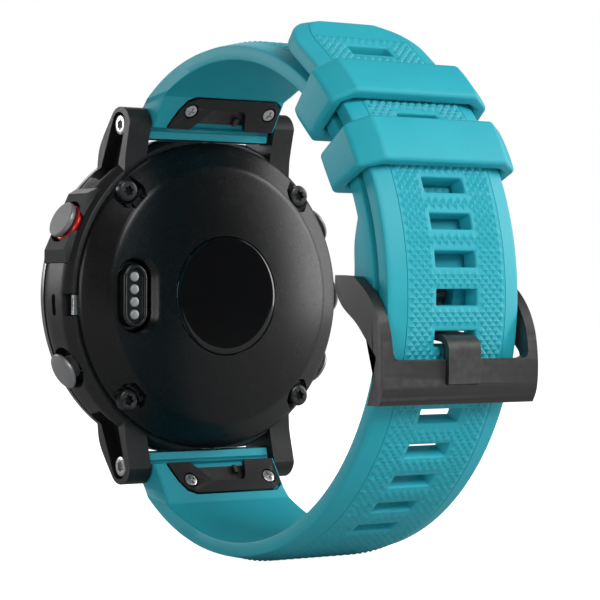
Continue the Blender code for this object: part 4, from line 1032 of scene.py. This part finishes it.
def sheetMesh(stations, holes, low, high):
    # a station is an inner point, an outer point, a half width, the distance along the outer face and how far
    # the end is rounded there
    columns = across()
    last = len(columns) - 1
    bm = bmesh.new()
    outer, inner, rightSide, leftSide = [], [], [], []
    for near, far, halfW, s, endRound in stations:
        near, far = Vector(near), Vector(far)
        out = (far - near).normalized()
        thick = (far - near).length
        inset = strap["sideInset"] if halfW < strap["halfW"] - 0.3 else 0.0
        scale = (halfW - inset) / (strap["halfW"] - inset)
        top, under = [], []
        for x in columns:
            px = x * scale
            for hole in holes:
                if abs(abs(x) - slots["halfW"]) < 1e-4 and abs(abs(s - hole) - slots["halfH"]) < 1e-4:
                    px -= math.copysign(slots["corner"], x)
            lift = gripHeight(x, s, holes, low, high) if scale > 0.97 else 0.0
            fall = slotDrop(x, s, holes)
            place = near + out * (thick - marginDrop(px, halfW) - fall - endRound + lift)
            top.append(bm.verts.new((px, place.x, place.y)))
            place = near + out * (fall * 0.8 + endRound * 0.6)
            under.append(bm.verts.new((px, place.x, place.y)))
        outer.append(top)
        inner.append(under)
        edgeTop = thick - strap["marginDrop"] - endRound
        edgeLow = endRound * 0.6
        edge = ((0.2, edgeTop), (0.06, edgeTop - 0.12), (0.0, edgeTop - 0.32), (0.0, 0.36 + edgeLow),
                (0.07, 0.14 + edgeLow), (0.24, 0.02 + edgeLow))
        for sign, store in ((1, rightSide), (-1, leftSide)):
            column = []
            for sideIn, depth in edge:
                place = near + out * depth
                column.append(bm.verts.new((sign * (halfW - sideIn), place.x, place.y)))
            store.append(column)
    count = len(stations)
    removed = set()
    middle = [(a + b) / 2 for a, b in zip(columns, columns[1:])]
    for i in range(count - 1):
        s = (stations[i][3] + stations[i + 1][3]) / 2
        if any(abs(s - hole) < slots["halfH"] for hole in holes):
            removed.update((i, j) for j in range(last) if abs(middle[j]) < slots["halfW"])

    def split(a, b, c, d):
        bm.faces.new((a, b, c))
        bm.faces.new((a, c, d))

    for i in range(count - 1):
        for j in range(last):
            if (i, j) in removed:
                for di, dj, ends in ((-1, 0, ((i, j), (i, j + 1))), (1, 0, ((i + 1, j), (i + 1, j + 1))),
                                     (0, -1, ((i, j), (i + 1, j))), (0, 1, ((i, j + 1), (i + 1, j + 1)))):
                    if (i + di, j + dj) not in removed:
                        (a, b), (c, d) = ends
                        bm.faces.new((outer[a][b], outer[c][d], inner[c][d], inner[a][b]))
                continue
            x, s = middle[j], (stations[i][3] + stations[i + 1][3]) / 2
            bm.faces.new((inner[i][j], inner[i][j + 1], inner[i + 1][j + 1], inner[i + 1][j]))
            a, b, c, d = outer[i][j], outer[i][j + 1], outer[i + 1][j + 1], outer[i + 1][j]
            heights = [gripHeight(columns[jj], stations[ii][3], holes, low, high)
                       for ii, jj in ((i, j), (i, j + 1), (i + 1, j + 1), (i + 1, j))]
            if max(heights) == 0:
                bm.faces.new((a, b, c, d))
            elif heights[0] + heights[2] <= heights[1] + heights[3]:
                split(a, b, c, d)
            else:
                split(b, c, d, a)
    for i in range(count - 1):
        for top, side, under in (([r[last] for r in outer], rightSide, [r[last] for r in inner]),
                                 ([r[0] for r in outer], leftSide, [r[0] for r in inner])):
            rows = [[top[k]] + side[k] + [under[k]] for k in (i, i + 1)]
            for k in range(len(rows[0]) - 1):
                bm.faces.new((rows[0][k], rows[0][k + 1], rows[1][k + 1], rows[1][k]))
    for i in (0, count - 1):
        rim = outer[i] + rightSide[i] + list(reversed(inner[i])) + list(reversed(leftSide[i]))
        cap = bm.faces.new(rim)
        bmesh.ops.triangulate(bm, faces=[cap])
    return bm


def pathRows(length, holes, start):
    # distances along one arc: regular rows for the pattern, and close rows round each slot
    count = 4 * max(1, round(length / grip["pitch"]))
    rows = [start + length * k / count for k in range(count + 1)]
    special = []
    for hole in holes:
        if start - 0.1 < hole < start + length + 0.1:
            for offset, _ in edgeRound:
                special += [hole - slots["halfH"] - offset, hole + slots["halfH"] + offset]
    apart = 0.07
    inside = [r for r in rows[1:-1] if not special or min(abs(r - q) for q in special) > apart]
    special = [q for q in special if start + apart < q < start + length - apart]
    return sorted([rows[0], rows[-1]] + inside + special)


def endStations(innerStart, outerStart, side):
    start, end = Vector(strap["landStart"]), Vector(strap["landEnd"])
    face = strap["endFaceZ"]
    inners = [(-4.9, face), (-4.7, face + 1.0), tuple(start), tuple(start.lerp(end, 0.5)), tuple(end),
              (innerStart[0], innerStart[1] * side)]
    outers = [(-8.9, face), (-8.9, face + 1.0), (-8.9, 25.3), (-8.2, 26.8), (-6.9, 28.2),
              (outerStart[0], outerStart[1] * side)]
    perSpan = 5
    smooth = spline(outers, perSpan)
    found = []
    for k in range(len(outers) - 1):
        for step in range(perSpan):
            part = step / perSpan
            near = Vector(inners[k]).lerp(Vector(inners[k + 1]), part)
            far = smooth[k * perSpan + step]
            done = (k + part) / (len(outers) - 1)
            halfW = strap["endHalfW"] + (strap["halfW"] - strap["endHalfW"]) * max(0.0, done * 5 - 4)
            found.append([(near.x, near.y * side), (far[0], far[1] * side), halfW])
    run = 0.0
    for later, earlier in zip(reversed(found), [None] + list(reversed(found))):
        if earlier:
            run -= (Vector(earlier[1]) - Vector(later[1])).length
        else:
            run -= (Vector(outerStart) - Vector(later[1])).length
        later.append(run)
    return [(near, far, halfW, s, 0.0) for near, far, halfW, s in found]


def onArc(centerY, radius, degrees):
    return (centerY + radius * math.cos(math.radians(degrees)), radius * math.sin(math.radians(degrees)))


def easedEnd(angle, square, outerEnd, innerEnd):
    # the inner face's angle for an outer angle: equal until it nears the strap's end
    if abs(angle) <= square:
        return angle
    return math.copysign(square + (abs(angle) - square) * (innerEnd - square) / (outerEnd - square), angle)


def tailPoint(radius, angle):
    # the tail follows its arc and then runs straight on
    turn = math.radians(min(angle, strap["tailLift"]))
    along = math.radians(max(0.0, angle - strap["tailLift"])) * (tailR + strap["thick"] / 2)
    return (strap["loopY"] + radius * math.cos(turn) - along * math.sin(turn),
            radius * math.sin(turn) + along * math.cos(turn))


def makeLongStrap():
    outR = longR + strap["thick"]
    length = math.radians(strap["longArc"]) * outR
    holes = [length + math.radians(slots["longStart"] - slots["longStep"] * k) * outR
             for k in range(slots["longCount"])]
    tailOutR = tailR + strap["thick"]
    tailLength = math.radians(strap["tailEnd"] - strap["tailCorner"]) * tailOutR
    holes += [length + math.radians(slots["tailStart"] + slots["tailStep"] * k) * tailOutR
              for k in range(slots["tailCount"])]
    stations = []
    for s in pathRows(length, holes, 0.0):
        angle = math.degrees(s / outR) - strap["longArc"]
        innerAngle = easedEnd(angle, 85, strap["longArc"], 118)
        near, far = onArc(strap["longY"], longR, innerAngle), onArc(strap["longY"], outR, angle)
        stations.append((near, far, strap["halfW"], s, 0.0))
    stations = endStations(stations[0][0], stations[0][1], -1) + stations
    for s in pathRows(tailLength, holes, length)[1:]:
        angle = math.degrees((s - length) / tailOutR)
        near, far = tailPoint(tailR, angle), tailPoint(tailOutR, angle)
        stations.append((near, far, strap["halfW"], s, 0.0))
    corner = strap["tailCorner"] * math.radians(tailR)
    steps = 22
    for k in range(1, steps + 1):
        turn = math.radians(90 * k / steps)
        angle = strap["tailEnd"] - strap["tailCorner"] * (1 - math.sin(turn))
        halfW = strap["halfW"] - corner * (1 - math.cos(turn))
        s = length + math.radians(angle) * tailOutR
        toTip = math.radians(strap["tailEnd"] - angle) * tailOutR
        nearTip = max(0.0, 1 - toTip / strap["tipReach"])
        roundTip = strap["tipRound"] * (1 - math.sqrt(max(0.0, 1 - nearTip ** 2)))
        near, far = tailPoint(tailR, angle), tailPoint(tailOutR, angle)
        stations.append((near, far, halfW, s, roundTip))
    piece = solid("bandLong", sheetMesh(stations, holes, 2.0, length + tailLength + 1.7), None,
                  materials["silicone"])
    cutStrapEnd(piece, -1)
    soften(piece, 0, angle=26)
    finishPiece(piece, "watch", "silicone", "strap_long")


def makeShortStrap():
    outR = strap["loopR"] + strap["thick"]
    first, last = strap["shortArc"]
    length = math.radians(first - last) * outR
    stations = []
    for s in pathRows(length, [], 0.0):
        angle = first - math.degrees(s / outR)
        if angle > 60:
            innerAngle = easedEnd(angle, 95, first, 115)
        else:
            innerAngle = max(angle, last + 2.0 + (angle - last) * 0.955)
        near, far = onArc(strap["loopY"], strap["loopR"], innerAngle), onArc(strap["loopY"], outR, angle)
        stations.append((near, far, strap["halfW"], s, 0.0))
    stations = endStations(stations[0][0], stations[0][1], 1) + stations
    eyeIn = pin["y"] - pin["r"] - 1.3
    outY = strap["loopY"] + outR - 0.1
    inners = [stations[-1][0], (eyeIn, 7.0), (eyeIn, 4.0), (eyeIn, 1.6), (eyeIn + 0.1, pin["z"] - 0.6),
              (eyeIn + 0.7, pin["z"] - 1.7), (eyeIn + 1.5, pin["z"] - 2.1)]
    outers = [stations[-1][1]] + [onArc(strap["loopY"], outR, a) for a in (11, 7, 3)]
    outers += [(outY, pin["z"] - 0.6), (outY - 0.5, pin["z"] - 1.7), (outY - 1.3, pin["z"] - 2.1)]
    widths = [11.0, 11.0, 11.0, 11.0, 11.0, 10.6, 10.1]
    perSpan = 6
    nearLine, farLine = spline(inners, perSpan), spline(outers, perSpan)
    for k in range(1, len(nearLine)):
        span, part = divmod(k, perSpan)
        following = widths[min(span + 1, len(widths) - 1)]
        halfW = widths[span] + (following - widths[span]) * part / perSpan
        s = stations[-1][3] + (Vector(farLine[k]) - Vector(farLine[k - 1])).length
        stations.append((nearLine[k], farLine[k], halfW, s, 0.0))
    piece = solid("bandShort", sheetMesh(stations, [], 2.0, length - 3.5), None, materials["silicone"])
    cutStrapEnd(piece, 1)
    combine(piece, boxShape((-1.8, 40, -6), (1.8, 56, pin["z"] + 2.4)))
    combine(piece, disc(pin["r"] + 0.15, -14, 14, 32), shift(0, pin["y"], pin["z"]) @ barAxis)
    soften(piece, 0, angle=26)
    finishPiece(piece, "watch", "silicone", "strap_short")


quick = {"plateT": 0.8, "proud": 0.1, "latchT": 0.65, "front": -0.8, "left": 8.4, "right": -10.2,
         "screwX": (5.4, -8.6), "screwAlong": 3.1}


def landFrame(side):
    start = Vector((strap["landStart"][0], -strap["landStart"][1]))
    end = Vector((strap["landEnd"][0], -strap["landEnd"][1]))
    along = (end - start).normalized()
    rows = (Vector((1, 0, 0)), Vector((0, along.x, along.y)), Vector((0, -along.y, along.x)))
    place = Matrix(rows).transposed().to_4x4()
    place.translation = (0, start.x, start.y)
    return Matrix.Scale(-side, 4, (0, 0, 1)) @ place


def plateOutline(grow=0.0):
    left, right, rear = quick["left"] + grow, quick["right"] - grow, 5.3 + grow
    return [(right, 0.0), (left, 0.0), (left - 0.4, 1.4), (left - 1.1, 3.3), (left - 2.1, rear - 0.7),
            (left - 3.6, rear), (right + 1.3, rear), (right, rear - 1.0)]


def besideBar(xLow, xHigh, yLow, yHigh, zNear, zFar, side):
    zs = sorted((zNear * side, zFar * side))
    return boxShape((xLow, yLow, zs[0]), (xHigh, yHigh, zs[1]))


def cutStrapEnd(piece, side):
    # room for the bar, the latch's leg, the plate, the latch and their screws
    roof = lug["barY"] + lug["barR"] + 0.25
    near, far = lug["barZ"] - lug["barR"] - 0.25, lug["barZ"] + 2.3
    for zNear, low in ((near, lug["barY"] - lug["barR"] - 0.25), (lug["barZ"] + 0.3, -13.0)):
        combine(piece, besideBar(-13, 13, low, roof, zNear, far, side))
    combine(piece, besideBar(-13, 13, -4.9, 0, 24.45, 24.9, side))
    legRoom = besideBar(-4.3, 1.3, lug["barY"] + 0.45, lug["barY"] + 3.9, lug["barZ"] + 0.9, far + 1.05, side)
    combine(piece, legRoom)
    place = landFrame(side)
    floor = quick["proud"] - quick["plateT"] - 0.1
    rim = plateOutline(0.3)
    outline = [(rim[0][0], quick["front"]), (rim[1][0], quick["front"])] + rim[1:]
    combine(piece, flatPrism(outline, floor, 2.0), place)
    front = quick["front"] + 0.1
    pocket = [(-7.0, front), (5.6, front), (5.6, 1.2), (3.6, 4.0), (3.2, 5.4), (-5.6, 5.4), (-7.0, 3.6)]
    combine(piece, flatPrism(pocket, floor - quick["latchT"] - 0.35, 0.5), place)
    for x in quick["screwX"]:
        combine(piece, disc(0.7, -2.7, 0, 24), place @ shift(x, quick["screwAlong"], 0))


makeLongStrap()
makeShortStrap()
print("straps")


keeper = {"spans": {"keeper_lower": (25.5, 35.4), "keeper_upper": (41.2, 50.9)}, "wall": 1.9, "halfW": 13.3,
          "lip": 0.62, "crown": 0.07}


def roundedLoop(corners, radius, steps):
    # a closed outline whose corners are arcs, the same number of points for each
    found = []
    count = len(corners)
    for k in range(count):
        here, before, after = Vector(corners[k]), Vector(corners[k - 1]), Vector(corners[(k + 1) % count])
        a, b = (before - here).normalized(), (after - here).normalized()
        half = a.angle(b) / 2
        reach = min(radius / math.tan(half), (before - here).length * 0.48, (after - here).length * 0.48)
        size = reach * math.tan(half)
        center = here + (a + b).normalized() * size / math.sin(half)
        first, last = here + a * reach - center, here + b * reach - center
        turn = first.angle_signed(last)
        for step in range(steps + 1):
            t = turn * step / steps
            found.append(center + Matrix.Rotation(-t, 2) @ first)
    return found


def keeperCorners(outside):
    wall, half = (keeper["wall"], keeper["halfW"]) if outside else (0.0, strap["halfW"] + 0.4)
    top = tailR + strap["thick"] + strap["gap"] + wall
    foot = strap["loopR"] - strap["gap"] - wall
    if outside:
        right = [(half - 1.2, foot), (half, foot + 1.4), (half, top - 2.3), (10.2, top)]
    else:
        right = [(half - 0.3, foot), (half, foot + 0.3), (half, top - 0.7), (9.9, top)]
    return right + [(-x, r) for x, r in reversed(right)]


def makeKeepers():
    outerLoop = roundedLoop(keeperCorners(True), 1.1, 8)
    innerLoop = roundedLoop(keeperCorners(False), 0.4, 8)
    lip, wall = keeper["lip"], keeper["wall"]
    arcSteps = [math.radians(15 * k) for k in range(7)]
    for name, (start, end) in keeper["spans"].items():
        span = math.radians(end - start) * (tailR + 2)
        corner = [(lip * (1 - math.sin(t)), lip * (1 - math.cos(t))) for t in arcSteps]
        outerSide = list(reversed(corner))
        outerSide += [(span * k / 8, -keeper["crown"] * math.sin(math.pi * k / 8)) for k in range(2, 7)]
        outerSide += [(span - d, e) for d, e in corner]
        innerSide = [(span - d, wall - e) for d, e in reversed(corner)] + [(d, wall - e) for d, e in corner]
        profile = outerSide + innerSide
        sections = []
        for along, depth in profile:
            angle = math.radians(start) + along / (tailR + 2)
            share = depth / wall
            points = [a + (b - a) * share for a, b in zip(outerLoop, innerLoop)]
            out, up = math.cos(angle), math.sin(angle)
            sections.append([(p.x, strap["loopY"] + p.y * out, p.y * up) for p in points])
        bm = bmesh.new()
        loops = [[bm.verts.new(point) for point in section] for section in sections]
        size = len(loops[0])
        for k, loop in enumerate(loops):
            other = loops[(k + 1) % len(loops)]
            for m in range(size):
                bm.faces.new((loop[m], loop[(m + 1) % size], other[(m + 1) % size], other[m]))
        bmesh.ops.remove_doubles(bm, verts=bm.verts, dist=0.002)
        piece = solid(name.replace("keeper_", "") + "Loop", bm, None, materials["silicone"])
        soften(piece, 0, angle=50)
        finishPiece(piece, name, "silicone", name)


makeKeepers()
print("keepers")


buckle = {"halfW": 13.0, "topZ": -8.3, "bottomZ": -14.2, "tongueHalfW": 2.7, "tongueT": 0.9,
          "tongueEndZ": -11.5, "wall": 0.6}


def buckleOutline():
    innerR = longR + strap["thick"] + 0.3
    bottom, top = [math.degrees(math.asin(z / innerR)) for z in (buckle["bottomZ"], buckle["topZ"] + 0.37)]
    rear = [(51.6, -5.7), (49.4, -3.5), (46.7, -1.6), (45.4, 0.0), (44.9, 1.6), (44.9, 2.7)]
    face = [(48.9, 2.5), (51.7, 0.4), (53.6, -1.9), (54.8, -4.6), (55.3, -7.4), (55.4, -10.2), (55.1, -12.6),
            (54.3, buckle["bottomZ"])]
    return arc((strap["longY"], 0), innerR, bottom, top, 10) + spline(rear, 4) + spline(face, 5)


def makeBuckle():
    piece = solid("buckleFrame", sidePrism(buckleOutline(), -buckle["halfW"], buckle["halfW"]), None,
                  materials["gunmetal"])
    half, top = strap["halfW"] + 0.4, buckle["topZ"]
    opening = [(-half, top + 0.9), (-half + 0.3, top + 0.25), (-half + 0.9, top), (half - 0.9, top),
               (half - 0.3, top + 0.25), (half, top + 0.9), (half, 6), (-half, 6)]
    combine(piece, lofted([[(x, y, z) for x, z in opening] for y in (40, 60)]))
    seat = buckle["tongueHalfW"] + 0.1
    combine(piece, boxShape((-seat, 54.45, buckle["tongueEndZ"] - 0.1), (seat, 60, 6)))
    hole = shift(0, pin["y"], pin["z"]) @ barAxis
    end = buckle["halfW"] - buckle["wall"]
    combine(piece, disc(pin["r"] + 0.1, -end, end, 40), hole)
    soften(piece, 0.26, 3, 33)
    finishPiece(piece, "buckle", "gunmetal", "buckle_frame")
    end -= 0.1
    r = pin["r"]
    profile = [(r, 0), (r, end - 0.15), (r - 0.05, end - 0.05), (r - 0.15, end), (0, end)]
    axle = solid("bucklePin", turned(bothWays(profile), 40), hole, materials["brightSteel"])
    soften(axle, 0, angle=50)
    finishPiece(axle, "buckle", "steel", "buckle_pin")


def ribbon(points, thickness):
    points = [Vector(p) for p in points]
    normals = []
    for k in range(len(points)):
        before = (points[k] - points[max(k - 1, 0)]).normalized()
        after = (points[min(k + 1, len(points) - 1)] - points[k]).normalized()
        mean = (before + after).normalized()
        stretch = 1 / max(0.5, mean.dot(after if k + 1 < len(points) else before))
        normals.append(Vector((-mean.y, mean.x)) * thickness / 2 * stretch)
    sides = [p + n for p, n in zip(points, normals)]
    return sides + [p - n for p, n in reversed(list(zip(points, normals)))]


def makeTongue():
    hole = shift(0, pin["y"], pin["z"]) @ barAxis
    half = 1.5
    piece = solid("tongueBlade", disc(pin["r"] + 1.0, -half, half, 48), hole, materials["gunmetal"])
    path = [(48.3, -1.0), (49.3, -3.9), (50.6, -5.0), (52.6, -5.35)]
    bend = arc((53.6, -7.3), 1.85, 75, 0, 10)
    neck = spline(path, 4)
    combine(piece, sidePrism(ribbon(neck, buckle["tongueT"]), -half, half), None, "UNION")
    blade = spline(path, 4)[8:] + bend[1:] + [(55.45, -10.0), (55.35, buckle["tongueEndZ"])]
    wide = buckle["tongueHalfW"]
    combine(piece, sidePrism(ribbon(blade, buckle["tongueT"]), -wide, wide), None, "UNION")
    combine(piece, disc(pin["r"] + 0.1, -14, 14, 40), hole)
    soften(piece, 0.13, 2, 40)
    finishPiece(piece, "tongue", "gunmetal", "buckle_tongue")


makeBuckle()
makeTongue()
print("buckle")


def makeLatch(label, side):
    place = landFrame(side)
    low = quick["proud"] - quick["plateT"]
    black = materials["plateBlack"]
    plate = solid(f"{label}Plate", flatPrism(plateOutline(), low, quick["proud"]), place, black)
    window = [(-6.2, -3.0), (4.5, -3.0), (4.5, 0.0), (1.6, 3.4), (-3.9, 3.4), (-4.5, 2.8)]
    combine(plate, flatPrism(window, -4, 4), place)
    top = low - 0.15
    pad = [(-6.2, 0.55), (4.6, 0.55), (2.1, 3.9), (-4.4, 3.9), (-5.2, 3.2)]
    latch = solid(f"{label}Latch", flatPrism(pad, top - quick["latchT"], top), place, black)
    leg = besideBar(-4.0, 1.0, lug["barY"] + 0.1, lug["barY"] + 3.15, lug["barZ"] + lug["barR"] + 0.25,
                    lug["barZ"] + 1.7, side)
    combine(latch, leg, None, "UNION")
    combine(latch, boxShape((-3.8, 0.6, top - 0.3), (-3.2, 1.9, top + 0.55)), place, "UNION")
    for k, x in enumerate(quick["screwX"]):
        spot = place @ shift(x, quick["screwAlong"], 0)
        combine(plate, disc(1.25, -0.35, 2, 40), spot)
        combine(plate, disc(0.7, -4, 2, 32), spot)
        profile = [(0, -2.4), (0.5, -2.4), (0.5, -0.25), (1.0, -0.25), (1.0, 0.03), (0.95, 0.11),
                   (0.82, 0.15), (0, 0.15)]
        screw = solid(f"{label}Cross{k + 1}", turned(profile, 48), spot, materials["brightSteel"])
        for turn in (20, 110):
            combine(screw, boxShape((-0.62, -0.13, -0.12), (0.62, 0.13, 1)), spot @ turnAbout("Z", turn))
        soften(screw, 0, angle=35)
        finishPiece(screw, "watch", "steel", f"latch_screw_{label}_{k + 1}")
    soften(plate, 0.1, 2, 40)
    finishPiece(plate, "watch", "plate", f"latch_plate_{label}")
    soften(latch, 0, angle=35)
    finishPiece(latch, f"latch_{label}", "plate", f"latch_{label}")


makeLatch("upper", 1)
makeLatch("lower", -1)
print("quick-release ends")


# return springs for the buttons and the latches
coils = {"radius": 1.35, "wire": 0.17, "low": -4.85, "high": -2.45, "keep": 0.62,
         "latchRadius": 0.5, "latchWire": 0.12, "latchLow": 0.1, "latchHigh": 1.15, "latchKeep": 0.1,
         "latchSeat": (-1.5, 1.0, -2.77)}


def helix(radius, wire, low, high, turns, perTurn=28, sides=10):
    sections = []
    for k in range(turns * perTurn + 1):
        angle = 2 * math.pi * k / perTurn
        height = low + wire + (high - low - 2 * wire) * k / (turns * perTurn)
        section = []
        for side in range(sides):
            around = 2 * math.pi * side / sides
            reach = radius + wire * math.cos(around)
            rise = wire * math.sin(around)
            section.append((reach * math.cos(angle), reach * math.sin(angle), height + rise))
        sections.append(section)
    return lofted(sections)


def makeSpring(name, coil, place, node):
    piece = solid(name, coil, place, materials["brightSteel"])
    soften(piece, 0, angle=60)
    finishPiece(piece, "watch", "steel", node)
    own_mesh(piece)


def makeSprings():
    low, high, keep = coils["low"], coils["high"], coils["keep"]
    for name, angle in buttonAngles.items():
        place = radialAxis(angle, button["outR"], button["y"])
        coil = helix(coils["radius"], coils["wire"], low, high, 3)
        makeSpring(f"{name}Coil", coil, place, f"spring_{name}")
    low, high, keep = coils["latchLow"], coils["latchHigh"], coils["latchKeep"]
    for label, side in (("upper", 1), ("lower", -1)):
        place = landFrame(side) @ shift(*coils["latchSeat"]) @ turnAbout("X", -90)
        coil = helix(coils["latchRadius"], coils["latchWire"], low, high, 3)
        makeSpring(f"{label}Coil", coil, place, f"latch_spring_{label}")


makeSprings()
print("springs")
